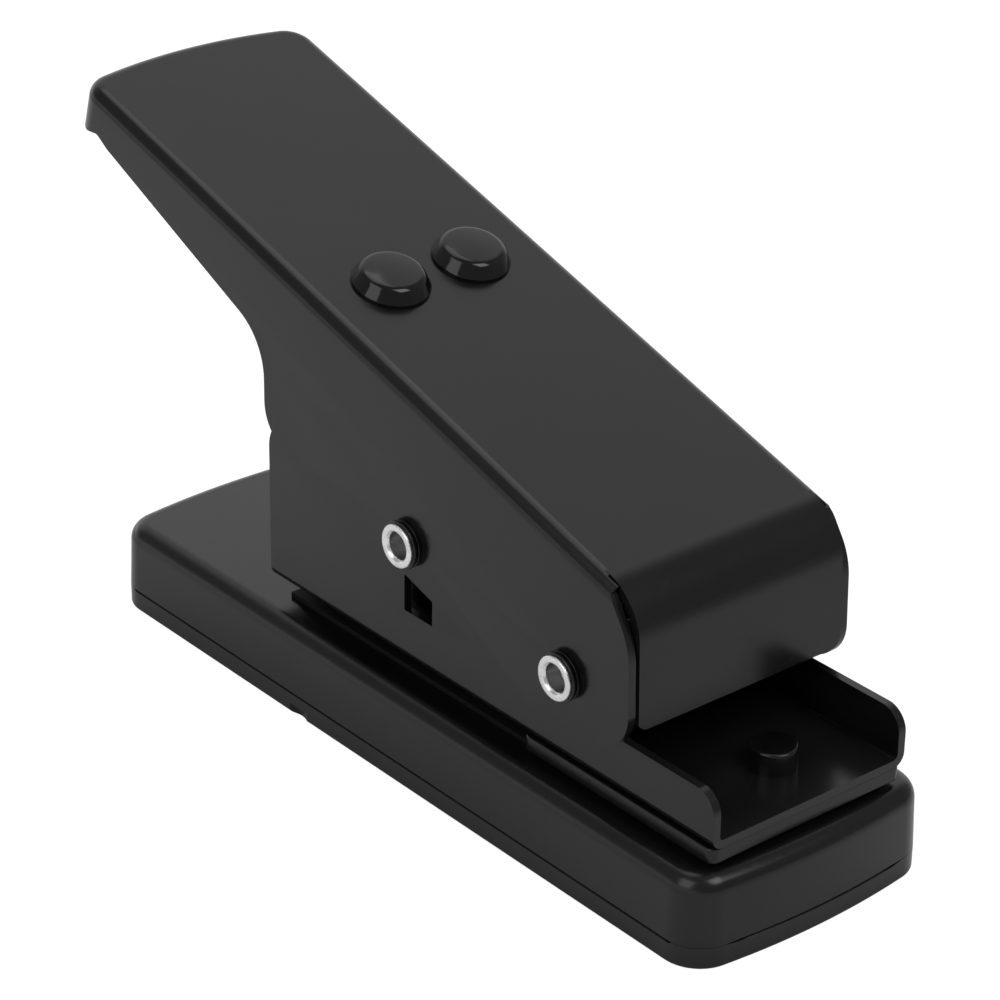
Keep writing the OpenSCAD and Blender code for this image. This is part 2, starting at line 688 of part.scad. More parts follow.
module front_stud() {
    color(steel_black) translate([stud_x, stud_side, 0]) {
        translate([0, 0, floor_z1]) cylinder(d = stud_d, h = stud_h - stud_edge);
        translate([0, 0, floor_z1 + stud_h - stud_edge])
            cylinder(d1 = stud_d, d2 = stud_d - 2 * stud_edge, h = stud_edge);
        translate([0, 0, die_z0]) cylinder(d = shank_d, h = floor_z1 - die_z0);
        translate([0, 0, chamber_z1]) cylinder(d = stud_d, h = base_wall);
    }
}

// Half outline of a low round head, turned about its axis
module round_head(d, h) {
    cap_r = (d * d / 4 + h * h) / (2 * h);
    intersection() {
        translate([0, 0, h - cap_r]) sphere(r = cap_r);
        cylinder(d = d, h = h);
    }
}

module rear_rivets() {
    color(steel_black) for (side = [-1, 1]) translate([rear_rivet_x, side * rear_rivet_side, 0]) {
        translate([0, 0, floor_z1]) round_head(rear_head_d, rear_head_h);
        translate([0, 0, die_z0]) cylinder(d = shank_d, h = floor_z1 - die_z0);
        translate([0, 0, chamber_z1]) cylinder(d = rear_head_d, h = base_wall);
    }
}

module base_screws() {
    color(steel_bare) base_screw_spots() translate([0, 0, chamber_z1 - press_gap]) rotate([180, 0, 0])
        screw(base_screw_d, base_head_d, base_head_h, base_wall + die_t - 2 * die_bevel);
}

// Outline points of a pin's tubular, flared end, from the hole's floor round to the shaft
function pin_end(d, half_shaft) =
    let (hole_r = pin_hole_d / 2, head_r = pin_head_d / 2, tip = half_shaft + pin_head_t)
    [[0, tip - pin_hole_depth], [hole_r, tip - pin_hole_depth], [hole_r, tip - pin_flare],
     [hole_r + pin_flare, tip], [head_r - pin_flare, tip], [head_r, tip - pin_flare],
     [head_r, half_shaft], [d / 2, half_shaft]];

// A pin along Y with both of its ends flared over the washers
module pin(d, half_shaft) {
    end = pin_end(d, half_shaft);
    n = len(end);
    rotate([90, 0, 0]) rotate_extrude()
        polygon(concat(end, [for (i = [n - 1:-1:0]) [end[i][0], -end[i][1]]]));
}

// A pair of flat rings along Y, from y0 outwards
module ring_pair(y0, thickness, outer_d, inner_d) {
    both_sides() translate([0, y0, 0]) rotate([-90, 0, 0]) difference() {
        cylinder(d = outer_d, h = thickness);
        translate([0, 0, -overrun]) cylinder(d = inner_d, h = thickness + 2 * overrun);
    }
}

module hinge_pin() {
    color(steel_bare) translate([hinge_x, 0, hinge_z]) pin(hinge_pin_d, head_y);
}

module hinge_washers() {
    color(steel_black) translate([hinge_x, 0, hinge_z])
        ring_pair(washer_y, washer_t, washer_d, hinge_pin_d + 2 * press_gap);
}

module hinge_sleeve() {
    length = 2 * (inner_y - press_gap);
    color(steel_bare) translate([hinge_x, 0, hinge_z]) difference() {
        cross_cylinder(sleeve_d / 2, length);
        cross_cylinder(hinge_pin_d / 2 + press_gap, length + overrun);
    }
}

// Solid of the lever's outside or inside, with round top edges, from the handle's end past the nose
module lever_block(inset, foot) {
    front = 2 * fold_r;
    half_w = lever_w / 2;
    sides = [for (i = [0:edge_steps])
        let (lean = 90 * i / edge_steps, in = inset + (lever_bend_r - inset) * (1 - cos(lean)))
        [in, lever_rise - lever_bend_r + (lever_bend_r - inset) * sin(lean)]];
    rows = concat([[inset, -foot]], sides);
    ring_solid([for (row = rows) lifted(
        concat([[front, row[0] - half_w], [front, half_w - row[0]]],
               bowed_end(-lever_back, half_w, handle_bow_r, handle_corner_r, row[0])), row[1])]);
}

// Fold centre, and the direction down the flap, in the lever's axes
fold_c = [fold_front, lever_rise - fold_r];
flap_dir = [cos(fold_angle), -sin(fold_angle)];
fold_out = [sin(fold_angle), cos(fold_angle)];

// Side view of the lever: the nose, the lower edge, the throat and the handle's skirt
module lever_profile() {
    front_top = fold_c + fold_out * (fold_r - nose_back);
    foot_run = (front_top[1] + nose_drop) / -flap_dir[1];
    nose_foot = front_top + flap_dir * foot_run;
    // Where the slope from the notch meets the line of the front edge
    notch = [nose_start, lever_rise - nose_notch];
    slope_dir = [cos(nose_slope), -sin(nose_slope)];
    slope_run = cross(front_top - notch, flap_dir) / cross(slope_dir, flap_dir);
    nose_bend = notch + slope_dir * slope_run;
    handle_start = [-handle_start_back, lever_rise - handle_depth];
    relief_x = relief_back - lever_back;
    relief_start = [relief_x + relief_half, lever_rise - handle_end_depth];
    relief_top = [relief_x, lever_rise - relief_depth];
    relief_end = [relief_x - relief_half, lever_rise - lip_depth];
    rear = -lever_back - overrun;
    above = lever_rise + overrun;
    path = [[rear, above, 0], [nose_start, above, 0], [notch[0], notch[1], 0],
            [nose_bend[0], nose_bend[1], nose_bend_r], [nose_foot[0], nose_foot[1], nose_r],
            [-nose_edge_back, -skirt_front, fold_r], [-skirt_end_back, -skirt_rear, skirt_corner_r],
            [handle_start[0], handle_start[1], throat_r], [relief_start[0], relief_start[1], relief_r],
            [relief_top[0], relief_top[1], relief_r / 2], [relief_end[0], relief_end[1], relief_r],
            [rear, lever_rise - lip_depth, 0]];
    polygon(rounded(path));
}

// Bent strip of the front flap in side view
module flap_profile() {
    in_r = fold_r - sheet;
    outer = [for (i = [0:arc_steps]) fold_c + fold_r * toward(90 - fold_angle * i / arc_steps)];
    inner = [for (i = [arc_steps:-1:0]) fold_c + in_r * toward(90 - fold_angle * i / arc_steps)];
    foot = [outer[arc_steps] + flap_dir * flap_l, inner[0] + flap_dir * flap_l];
    root = [[fold_front - overrun, lever_rise - sheet], [fold_front - overrun, lever_rise]];
    polygon(concat(root, outer, foot, inner));
}

// Front view of the flap, with rounded lower corners, in y and the way down the flap
module flap_front() {
    half = lever_inner_y - flap_seam;
    polygon(rounded([[-half, flap_l, flap_corner_r], [half, flap_l, flap_corner_r],
                     [half, -2 * fold_r, 0], [-half, -2 * fold_r, 0]]));
}

module lever() {
    deep = 2 * skirt_front;
    past = 2 * fold_r + nose_r;
    color(steel_black) difference() {
        at_lever() union() {
            intersection() {
                difference() {
                    lever_block(0, deep);
                    lever_block(sheet, deep + overrun);
                    translate([fold_front, -lever_inner_y, -deep])
                        cube([past, 2 * lever_inner_y, 2 * deep + lever_rise]);
                }
                side_cut(lever_w + overrun) lever_profile();
            }
            intersection() {
                side_cut(2 * (lever_inner_y - flap_seam)) flap_profile();
                translate([fold_c[0], 0, fold_c[1]]) rotate([0, 90 - fold_angle, 0]) rotate([0, 90, 0])
                    rotate([0, 0, 90]) linear_extrude(4 * fold_r, center = true) flap_front();
            }
        }
        at_lever() cross_cylinder(hinge_pin_d / 2 + pin_slip, lever_w + overrun);
        at_lever() translate([-drive_back, 0, -drive_drop])
            cross_cylinder(drive_pin_d / 2 + press_gap, lever_w + overrun);
        at_lever() rivet_spots() translate([0, 0, -sheet - overrun])
            cylinder(d = rivet_shank_d + 2 * press_gap, h = sheet + 2 * overrun);
    }
}

// Places of the two rivets on the lever's top, in the lever's axes
module rivet_spots() {
    for (side = [-1, 1]) translate([-rivet_back, side * rivet_side, lever_rise]) children();
}

module lever_stiffener() {
    lip_r = 2 * sheet;
    color(steel_black) at_lever() difference() {
        translate([-rivet_back - stiffener_l / 2, 0, lever_rise - sheet - press_gap])
            mirror([0, 0, 1]) rotate([90, 0, 90])
                linear_extrude(stiffener_l) channel_section(stiffener_w, stiffener_lip + sheet, lip_r);
        rivet_spots() translate([0, 0, -4 * sheet])
            cylinder(d = rivet_shank_d + 2 * press_gap, h = 4 * sheet);
    }
}

// Half outline of a domed head with a steep flank and a nearly flat top
function rivet_head() =
    let (r = rivet_head_d / 2, edge = [r - rivet_flank, rivet_head_h - rivet_crown])
    concat([[0, press_gap], [r, press_gap], [r, rivet_foot]],
           corner_arc([r, rivet_foot], edge, [0, rivet_head_h], rivet_edge_r), [[0, rivet_head_h]]);

module lever_rivets() {
    shank_h = 2 * sheet + 2 * press_gap;
    tail_d = rivet_shank_d + 2 * rivet_tail;
    color(steel_black) at_lever() rivet_spots() {
        rotate_extrude() polygon(rivet_head());
        translate([0, 0, press_gap - shank_h]) cylinder(d = rivet_shank_d, h = shank_h);
        translate([0, 0, -shank_h - rivet_tail]) cylinder(d = tail_d, h = rivet_tail);
    }
}

module drive_pin() {
    color(steel_bare) translate([drive_x, 0, drive_z]) pin(drive_pin_d, head_y);
}

module drive_washers() {
    color(steel_black) translate([drive_x, 0, drive_z])
        ring_pair(washer_y, washer_t, washer_d, drive_pin_d + 2 * press_gap);
}

module drive_sleeves() {
    y0 = holder_block / 2 + part_gap;
    color(steel_black) translate([drive_x, 0, drive_z])
        ring_pair(y0, inner_y - part_gap - y0, sleeve_d, drive_pin_d + 2 * press_gap);
}

// Places of the two screws that hold the punch to its holder
module punch_screw_spots() {
    for (side = [-1, 1]) translate([punch_x + side * holder_block / 3, 0, 0]) children();
}

module punch() {
    color(steel_bare) difference() {
        pick_prism(0, punch_z0, holder_z0);
        punch_screw_spots() translate([0, 0, holder_z0 - punch_h / 2])
            cylinder(d = punch_screw_d + 2 * press_gap, h = punch_h);
    }
}

module punch_holder() {
    slot_r = drive_pin_d / 2 + pin_slip;
    color(steel_black) difference() {
        union() {
            translate([punch_x - holder_block / 2, -holder_block / 2, holder_z0])
                cube([holder_block, holder_block, holder_h]);
            translate([punch_x - holder_l / 2, -holder_arm_w / 2, arm_z0])
                cube([holder_l, holder_arm_w, holder_arm_t]);
        }
        for (shift = [-1, 1]) translate([punch_x + shift * (drive_shift / 2 + loose), 0, drive_z])
            cross_cylinder(slot_r, holder_block + overrun);
        translate([punch_x - drive_shift / 2 - loose, -holder_block / 2 - overrun, drive_z - slot_r])
            cube([drive_shift + 2 * loose, holder_block + 2 * overrun, 2 * slot_r]);
        punch_screw_spots() translate([0, 0, holder_z0 - overrun])
            cylinder(d = punch_screw_d + 2 * press_gap, h = holder_h + 2 * overrun);
        for (side = [-1, 1]) translate([punch_x + side * spring_side, 0, arm_z0 - overrun])
            cylinder(d = post_d + 2 * loose, h = holder_arm_t + 2 * overrun);
    }
}

module punch_screws() {
    color(steel_bare) punch_screw_spots() translate([0, 0, holder_z1 + press_gap])
        screw(punch_screw_d, base_head_d, base_head_h, holder_h + punch_h / 3);
}

base_housing();
bottom_cover();
die_plate();
front_stop_plate();
rear_stop_plate();
frame_channel();
guide_plate();
guide_screws();
spring_posts();
return_springs();
front_stud();
rear_rivets();
base_screws();
hinge_pin();
hinge_washers();
hinge_sleeve();
lever();
lever_stiffener();
lever_rivets();
drive_pin();
drive_washers();
drive_sleeves();
punch();
punch_holder();
punch_screws();
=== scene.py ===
"""Guitar pick punch: the look of the machine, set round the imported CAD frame.

X runs to the front, where the stop plate shows, Y to the left, Z up. Sizes are in millimetres until
a mesh is made; the lamps, the floor and the textures are in metres.
"""

import json
import math

import bmesh
import bpy
from mathutils import Matrix, Vector


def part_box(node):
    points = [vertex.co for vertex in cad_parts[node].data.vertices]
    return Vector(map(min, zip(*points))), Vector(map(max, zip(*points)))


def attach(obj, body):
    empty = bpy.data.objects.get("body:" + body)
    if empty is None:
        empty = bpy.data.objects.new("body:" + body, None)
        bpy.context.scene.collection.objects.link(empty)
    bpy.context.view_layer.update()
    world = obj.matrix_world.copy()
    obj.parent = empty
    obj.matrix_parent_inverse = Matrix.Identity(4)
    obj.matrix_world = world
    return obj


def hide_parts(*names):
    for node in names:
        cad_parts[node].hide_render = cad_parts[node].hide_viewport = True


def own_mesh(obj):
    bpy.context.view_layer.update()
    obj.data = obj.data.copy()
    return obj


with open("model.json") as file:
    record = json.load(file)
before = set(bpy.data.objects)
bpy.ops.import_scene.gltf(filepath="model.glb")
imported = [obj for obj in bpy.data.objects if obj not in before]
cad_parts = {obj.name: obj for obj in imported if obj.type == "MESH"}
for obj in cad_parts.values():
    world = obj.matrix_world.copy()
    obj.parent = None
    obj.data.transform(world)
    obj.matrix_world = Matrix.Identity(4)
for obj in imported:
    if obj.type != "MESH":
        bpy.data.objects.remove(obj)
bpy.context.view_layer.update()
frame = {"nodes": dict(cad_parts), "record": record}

MM = 0.001
OVER = 1.0  # how far a cutting tool reaches past what it cuts


def cad(node):
    """Lowest and highest corner of a CAD node in millimetres."""
    lo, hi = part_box(node)
    return [v / MM for v in lo], [v / MM for v in hi]


def middle(node):
    lo, hi = cad(node)
    return [(a + b) / 2 for a, b in zip(lo, hi)]


# Sizes and places that the CAD frame gives

BASE_LO, BASE_HI = cad("base_housing")
COVER_TOP = cad("bottom_cover")[1][2]
FRAME_LO, FRAME_HI = cad("frame_channel")
DIE_LO, DIE_HI = cad("die_plate")
LEVER_LO, LEVER_HI = cad("lever")
HINGE = middle("hinge_pin")
DRIVE = middle("drive_pin")
STUD = middle("front_stud")
PUNCH_X = middle("punch_holder")[0]
SEAM_Z = BASE_LO[2]
BASE_L = BASE_HI[0] - BASE_LO[0]
BASE_W = BASE_HI[1] - BASE_LO[1]
FRAME_W = FRAME_HI[1] - FRAME_LO[1]
LEVER_W = LEVER_HI[1] - LEVER_LO[1]

# What the pieces share in the CAD source: sheet and fits

SHEET = 1.5
FLOOR_Z = FRAME_LO[2] + SHEET
PUNCH_SLIP = 0.12
PRESS_SLIP = 0.02  # round a piece that sits tight
TURN_SLIP = 0.06  # round a pin that turns
PIN_ROOM = 0.3  # above the drive pin in the frame's slot

# Base and bottom cover

BASE_EDGE_STEPS, COVER_EDGE_STEPS = 14, 10
CORNER_R = 7.0
END_BOW_R = 150.0
EDGE_R = 3.2
DRAFT = 0.35
WALL = 2.0
SEAM_GAP = 0.25
SEAM_EDGE = 0.12
COVER_EDGE_R = 0.6
COVER_FLOOR = 1.8
COVER_LIP_T = 1.4
COVER_SLIP = 0.3
CORNER_GAPS = (0.06, 0.04)  # below the seam, of the rim's two top edges at the closed corners
NAIL_BACK, NAIL_L, NAIL_DEPTH = 22.5, 5.0, 0.8

# Pick, die and stop plates

PICK_L = 30.0  # from the tip to the back of the shoulder circles
PICK_TIP_R, PICK_SHOULDER_R, PICK_SIDE_R, PICK_END_R = 3.6, 6.5, 40.0, 27.0
DIE_EDGE = 0.08
STOP_CORNER_R = 1.5
STOP_EDGE = 0.3

# Frame

FRAME_BEND_R = 2.3
FRAME_EDGE = 0.28
FLANGE_H = 9.8
WALL_CORNER_R = 6.0
FLANGE_CORNER_R = 4.0
FOOT_CORNER_R = 1.2
WALL_FALL_BACK = 26.0
HINGE_BOSS_R = 9.0
SLOT_W = 7.2
SLOT_FOOT = 9.5

# Lever

LEVER_SLOPE = 16.1
LEVER_BACK = 141.8
LEVER_RISE = 21.6
LEVER_BEND_R = 2.6
LEVER_EDGE = 0.22
HANDLE_CORNER_R = 5.5
HANDLE_BOW_R = 107.0
FOLD_R = 10.0
FOLD_FRONT = 1.8
FOLD_ANGLE = 72.0
FLAP_L = 14.8
FLAP_SEAM = 0.35
FLAP_CORNER_R = 1.8
NOSE_START = 4.4
NOSE_NOTCH = 1.4
NOSE_SLOPE = 40.0
NOSE_BEND_R = 12.0
NOSE_BACK = 0.4
NOSE_R = 7.2
NOSE_DROP = 3.7
NOSE_EDGE_BACK = 6.0
SKIRT_REAR = 9.6
SKIRT_FRONT = 10.3
SKIRT_END_BACK = 77.1
SKIRT_CORNER_R = 7.5
HANDLE_START_BACK = 81.7
HANDLE_DEPTH = 15.2
HANDLE_END_DEPTH = 8.5
RELIEF_BACK = 8.7
RELIEF_HALF = 3.4
RELIEF_DEPTH = 7.5
RELIEF_R = 3.0
LIP_DEPTH = 8.8
THROAT_R = 11.0

# Stiffener and the two domed rivets

STIFFENER_L, STIFFENER_W, STIFFENER_LIP = 46.0, 32.0, 5.0
STIFFENER_EDGE = 0.25
RIVET_BACK = 70.3
RIVET_SIDE = 8.4
RIVET_SHANK_R = 3.0
RIVET_HEAD_R, RIVET_HEAD_H = 6.7, 3.2
RIVET_FOOT_H, RIVET_FOOT_R = 0.45, 0.25
RIVET_FLANK, RIVET_CROWN, RIVET_CROWN_R = 1.45, 0.42, 1.7
RIVET_TAIL_R, RIVET_TAIL_H, RIVET_TAIL_EDGE_R = 4.5, 1.5, 0.5
SHANK_OVERLAP = 0.1

# Pins, washers, sleeves and stud

HINGE_PIN_R, DRIVE_PIN_R = 3.0, 2.75
PIN_HEAD_T = 0.6
PIN_HEAD_EDGES = (0.28, 0.15)
PIN_HOLE_R, PIN_HOLE_DEPTH, PIN_HOLE_FLOOR_R = 2.3, 3.5, 0.3
PIN_FLARE_R, PIN_FLARE_H, PIN_FLARE_BEND, PIN_RIM_R = 0.42, 0.5, 0.5, 0.3
HOLE_WALL_R, HOLE_WALL_BACK = 2.32, 0.3  # what counts as inside a pin's hole
WASHER_STACK = 1.5
RING_SEAM, RING_GROOVE, RING_GROOVE_DEPTH, RING_STEP = 0.75, 0.18, 0.45, 0.05
WASHER_EDGE_R, RING_EDGE_R = 0.12, 0.2
DRIVE_SLEEVE_L = 9.1
SLEEVE_BORE_EDGE_R, SLEEVE_EDGE_R = 0.15, 0.3
STUD_SHANK_R, STUD_FOOT_EDGE_R, STUD_HEAD_EDGE_R = 2.0, 0.3, 0.45

# Springs and hidden pieces

SPRING_D, SPRING_WIRE_D, SPRING_TURNS = 7.8, 1.0, 7
HIDDEN_NODES = ("guide_plate", "guide_screws", "spring_posts", "rear_rivets", "base_screws",
                "punch", "punch_holder", "punch_screws")
HIDDEN_EDGE = 0.2

# Angles between faces, in degrees: from where an edge is rounded, up to where it shades smooth, and
# up to where two faces count as one

CRISP_ANGLE = 32.0
HIDDEN_ANGLE = 35.0
MOULDED_ANGLE = 40.0
DOME_ANGLE = 38.0
FOLDED_ANGLE = 50.0
WIRE_ANGLE = 60.0
FLAT_ANGLE = 0.3
EVEN_WEIGHT = 80  # above 50, larger faces count for more in the shading

# Distances, in metres, up to which two points count as one

BOOLEAN_DIST, AXIS_DIST, ZERO_EDGE = 2e-6, 1e-7, 1e-8

SIDES = ((-1, "Right"), (1, "Left"))

# Materials

COAT_IOR = 1.4
DULL_IOR = 1.2
PEEL_DEPTH, GRAIN_DEPTH, FAINT_DEPTH = 0.00002, 0.00001, 0.000002
SPREAD = {"start": 0.3, "stop": 0.7}  # where a ramp over a noise texture starts and stops
WORN = {"start": 0.515, "stop": 0.56}  # the same over an edge's pointiness


def new_material(name):
    mat = bpy.data.materials.new(name)
    mat.use_nodes = True
    nodes = mat.node_tree.nodes
    nodes.clear()
    out = nodes.new("ShaderNodeOutputMaterial")
    shader = nodes.new("ShaderNodeBsdfPrincipled")
    mat.node_tree.links.new(shader.outputs["BSDF"], out.inputs["Surface"])
    return mat, shader


def noise(mat, scale, detail=4.0, rough=0.5, stretch=None):
    """A noise texture in object space, in metres, stretched along an axis if asked."""
    nodes, links = mat.node_tree.nodes, mat.node_tree.links
    place = nodes.new("ShaderNodeTexCoord")
    tex = nodes.new("ShaderNodeTexNoise")
    tex.inputs["Scale"].default_value = scale
    tex.inputs["Detail"].default_value = detail
    tex.inputs["Roughness"].default_value = rough
    if stretch:
        mapping = nodes.new("ShaderNodeMapping")
        mapping.inputs["Scale"].default_value = stretch
        links.new(place.outputs["Object"], mapping.inputs["Vector"])
        links.new(mapping.outputs["Vector"], tex.inputs["Vector"])
    else:
        links.new(place.outputs["Object"], tex.inputs["Vector"])
    return tex.outputs["Fac"]


def ramp(mat, source, low, high, start, stop):
    """A colour ramp between two colours or grey levels."""
    nodes, links = mat.node_tree.nodes, mat.node_tree.links
    node = nodes.new("ShaderNodeValToRGB")
    for element, at, level in zip(node.color_ramp.elements, (start, stop), (low, high)):
        element.position = at
        element.color = [*level, 1.0] if hasattr(level, "__len__") else [level, level, level, 1.0]
    links.new(source, node.inputs["Fac"])
    return node.outputs["Color"]


def bump(mat, source, distance, strength, normal=None):
    nodes, links = mat.node_tree.nodes, mat.node_tree.links
    node = nodes.new("ShaderNodeBump")
    node.inputs["Strength"].default_value = strength
    node.inputs["Distance"].default_value = distance
    links.new(source, node.inputs["Height"])
    if normal:
        links.new(normal, node.inputs["Normal"])
    return node.outputs["Normal"]


def edge_wear(mat, amount=0.004):
    """Lighter tone where Geometry's pointiness says that an edge is worn."""
    geometry = mat.node_tree.nodes.new("ShaderNodeNewGeometry")
    return ramp(mat, geometry.outputs["Pointiness"], 0.0, amount, **WORN)


def add_colours(mat, a, b):
    nodes, links = mat.node_tree.nodes, mat.node_tree.links
    mix = nodes.new("ShaderNodeMix")
    mix.data_type = "RGBA"
    mix.blend_type = "ADD"
    mix.inputs["Factor"].default_value = 1.0
    links.new(a, mix.inputs["A"])
    links.new(b, mix.inputs["B"])
    return mix.outputs["Result"]


def coated_steel(name, tone=0.003, rough=(0.18, 0.24), ior=COAT_IOR):
    """Black stoved coat on steel: fine orange peel, faint specks and slightly lighter edges."""
    mat, shader = new_material(name)
    links = mat.node_tree.links
    dark, light = [tone * 0.8] * 3, [tone * 1.25, tone * 1.25, tone * 1.3]
    tint = ramp(mat, noise(mat, scale=60.0, detail=3.0), dark, light, **SPREAD)
    sheen = ramp(mat, noise(mat, scale=900.0, detail=5.0, rough=0.6), *rough, **SPREAD)
    peel = bump(mat, noise(mat, scale=1400.0, detail=3.0), distance=PEEL_DEPTH, strength=0.35)
    specks = noise(mat, scale=5200.0, detail=2.0, rough=0.6)
    grain = bump(mat, specks, distance=GRAIN_DEPTH, strength=0.4, normal=peel)
    links.new(add_colours(mat, tint, edge_wear(mat)), shader.inputs["Base Color"])
    links.new(sheen, shader.inputs["Roughness"])
    links.new(grain, shader.inputs["Normal"])
    shader.inputs["IOR"].default_value = ior
    return mat


def moulded_plastic(name):
    """Black moulded plastic with a fine, even texture and a light sheen."""
    mat, shader = new_material(name)
    links = mat.node_tree.links
    dark, light = [0.0035] * 3, [0.005, 0.005, 0.0055]
    tint = ramp(mat, noise(mat, scale=45.0, detail=3.0), dark, light, **SPREAD)
    sheen = ramp(mat, noise(mat, scale=1200.0, rough=0.6), 0.20, 0.27, **SPREAD)
    specks = noise(mat, scale=3000.0, detail=3.0, rough=0.6)
    grain = bump(mat, specks, distance=GRAIN_DEPTH, strength=0.5)
    links.new(add_colours(mat, tint, edge_wear(mat, amount=0.003)), shader.inputs["Base Color"])
    links.new(sheen, shader.inputs["Roughness"])
    links.new(grain, shader.inputs["Normal"])
    shader.inputs["IOR"].default_value = COAT_IOR
    return mat


def bright_steel(name, tone=0.62, rough=(0.22, 0.34), stretch=(1.0, 1.0, 1.0), depth=GRAIN_DEPTH):
    """Plated steel with fine turning marks and soft blotches."""
    mat, shader = new_material(name)
    links = mat.node_tree.links
    shader.inputs["Metallic"].default_value = 1.0
    dark, light = [tone * 0.8] * 3, [tone, tone, tone * 1.02]
    blotch = ramp(mat, noise(mat, scale=420.0, rough=0.55), dark, light, **SPREAD)
    sheen = ramp(mat, noise(mat, scale=1500.0, rough=0.6, stretch=stretch), *rough, **SPREAD)
    marks = noise(mat, scale=2600.0, detail=3.0, rough=0.6, stretch=stretch)
    links.new(blotch, shader.inputs["Base Color"])
    links.new(sheen, shader.inputs["Roughness"])
    links.new(bump(mat, marks, distance=depth, strength=0.5), shader.inputs["Normal"])
    return mat


COATED = coated_steel("coated_steel")
LEVER_COAT = coated_steel("lever_coat")
GLOSSY = coated_steel("glossy_coat", rough=(0.08, 0.11))
# Painted shade: a near-black, dull coat for pieces seen only in shade, namely the die plate, the
# guide plate and the punch
SHADE_BLACK = coated_steel("shade_black_steel", tone=0.002, rough=(0.6, 0.7), ior=DULL_IOR)
PLASTIC = moulded_plastic("moulded_plastic")
BRIGHT = bright_steel("bright_steel")
BRIGHT_RING = bright_steel("bright_ring", tone=0.86, rough=(0.24, 0.32), depth=FAINT_DEPTH)
# Painted shade: a darker copy of the ring's steel for the inside of the pins' holes
HOLE_SHADE_STEEL = bright_steel("hole_shade_steel", tone=0.5, rough=(0.3, 0.36), depth=FAINT_DEPTH)
GROUND = bright_steel("ground_steel", tone=0.5, rough=(0.28, 0.42), stretch=(1.0, 6.0, 1.0))
SPRING = bright_steel("spring_steel", tone=0.45, rough=(0.25, 0.35))

MATERIAL_OF = {
    "black_steel": COATED,
    "black_plastic": PLASTIC,
    "bright_steel": BRIGHT,
    "tool_steel": GROUND,
    "spring_steel": SPRING,
}
SLOT_OF = {row["node"]: row["material_slot"] for row in frame["record"]["subparts"]}
BODIES = frame["record"]["behaviour"]["bodies"]
BODY_OF = {node: body for body, nodes in BODIES.items() for node in nodes}

for node, obj in frame["nodes"].items():
    obj.data.materials.clear()
    obj.data.materials.append(MATERIAL_OF[SLOT_OF[node]])


# Outlines

def arc(x, y, r, start, sweep, steps):
    """The steps + 1 points along an arc about (x, y), which begins at the angle start."""
    turns = [start + sweep * i / steps for i in range(steps + 1)]
    return [(x + r * math.cos(turn), y + r * math.sin(turn)) for turn in turns]


def corner_arc(a, b, c, r, steps):
    """Points of the arc of radius r that rounds corner b of the path a, b, c."""
    a, b, c = Vector(a), Vector(b), Vector(c)
    u, v = (a - b).normalized(), (c - b).normalized()
    half = u.angle(v) / 2
    o = b + (u + v).normalized() * r / math.sin(half)
    s, e = b + u * r / math.tan(half) - o, b + v * r / math.tan(half) - o
    sweep = math.atan2(s.x * e.y - s.y * e.x, s.dot(e))
    return arc(o.x, o.y, r, math.atan2(s.y, s.x), sweep, steps)


def rounded(path, steps=12):
    """A closed path of (x, y, corner radius) rows with its corners rounded."""
    points = []
    for i, (x, y, r) in enumerate(path):
        before, after = path[i - 1], path[(i + 1) % len(path)]
        points += corner_arc(before[:2], (x, y), after[:2], r, steps) if r > 0 else [(x, y)]
    return points


def circle(x, y, r, steps=48):
    return arc(x, y, r, 0.0, 2 * math.pi, steps)[:-1]


def quarter(steps):
    """Angles from 0 to a right angle, for the rows of a round edge."""
    return [math.pi / 2 * i / steps for i in range(steps + 1)]


def bowed_end(end_x, half_w, bow_r, corner_r, inset, steps=14):
    """The bowed end of a long piece, with two rounded corners, from the left side to the right."""
    mid_x, corner_y, reach = end_x + bow_r, half_w - corner_r, bow_r - corner_r
    lean = math.asin(corner_y / reach)
    corner_x, r = mid_x - reach * math.cos(lean), corner_r - inset
    bend = math.pi / 2 - lean
    left = arc(corner_x, corner_y, r, math.pi / 2, bend, steps)
    bow = arc(mid_x, 0.0, bow_r - inset, math.pi - lean, 2 * lean, steps)[1:-1]
    right = arc(corner_x, -corner_y, r, math.pi + lean, bend, steps)
    return left + bow + right


def base_path(inset):
    half = bowed_end(-BASE_L / 2, BASE_W / 2, END_BOW_R, CORNER_R, inset)
    return half + [(-x, -y) for x, y in half]


# Solids

def make_mesh(name, points, faces):
    mesh = bpy.data.meshes.new(name)
    mesh.from_pydata([Vector(p) * MM for p in points], [], faces)
    mesh.validate()
    bm = bmesh.new()
    bm.from_mesh(mesh)
    bmesh.ops.recalc_face_normals(bm, faces=bm.faces)
    bm.to_mesh(mesh)
    bm.free()
    obj = bpy.data.objects.new(name, mesh)
    bpy.context.scene.collection.objects.link(obj)
    return obj


def ring_solid(name, rings):
    """A closed solid through rings of the same number of points."""
    n, last = len(rings[0]), len(rings) - 1
    faces = [list(range(n)), [last * n + k for k in reversed(range(n))]]
    for i in range(last):
        for k in range(n):
            m = (k + 1) % n
            faces.append([i * n + k, i * n + m, (i + 1) * n + m, (i + 1) * n + k])
    return make_mesh(name, [p for ring in rings for p in ring], faces)


def prism(name, outline, axis, lo, hi):
    """An outline drawn across an axis and made solid from lo to hi along it."""
    order = {"x": (2, 0, 1), "y": (0, 2, 1), "z": (0, 1, 2)}[axis]
    rings = [[(u, v, t) for u, v in outline] for t in (lo, hi)]
    return ring_solid(name, [[tuple(p[k] for k in order) for p in ring] for ring in rings])


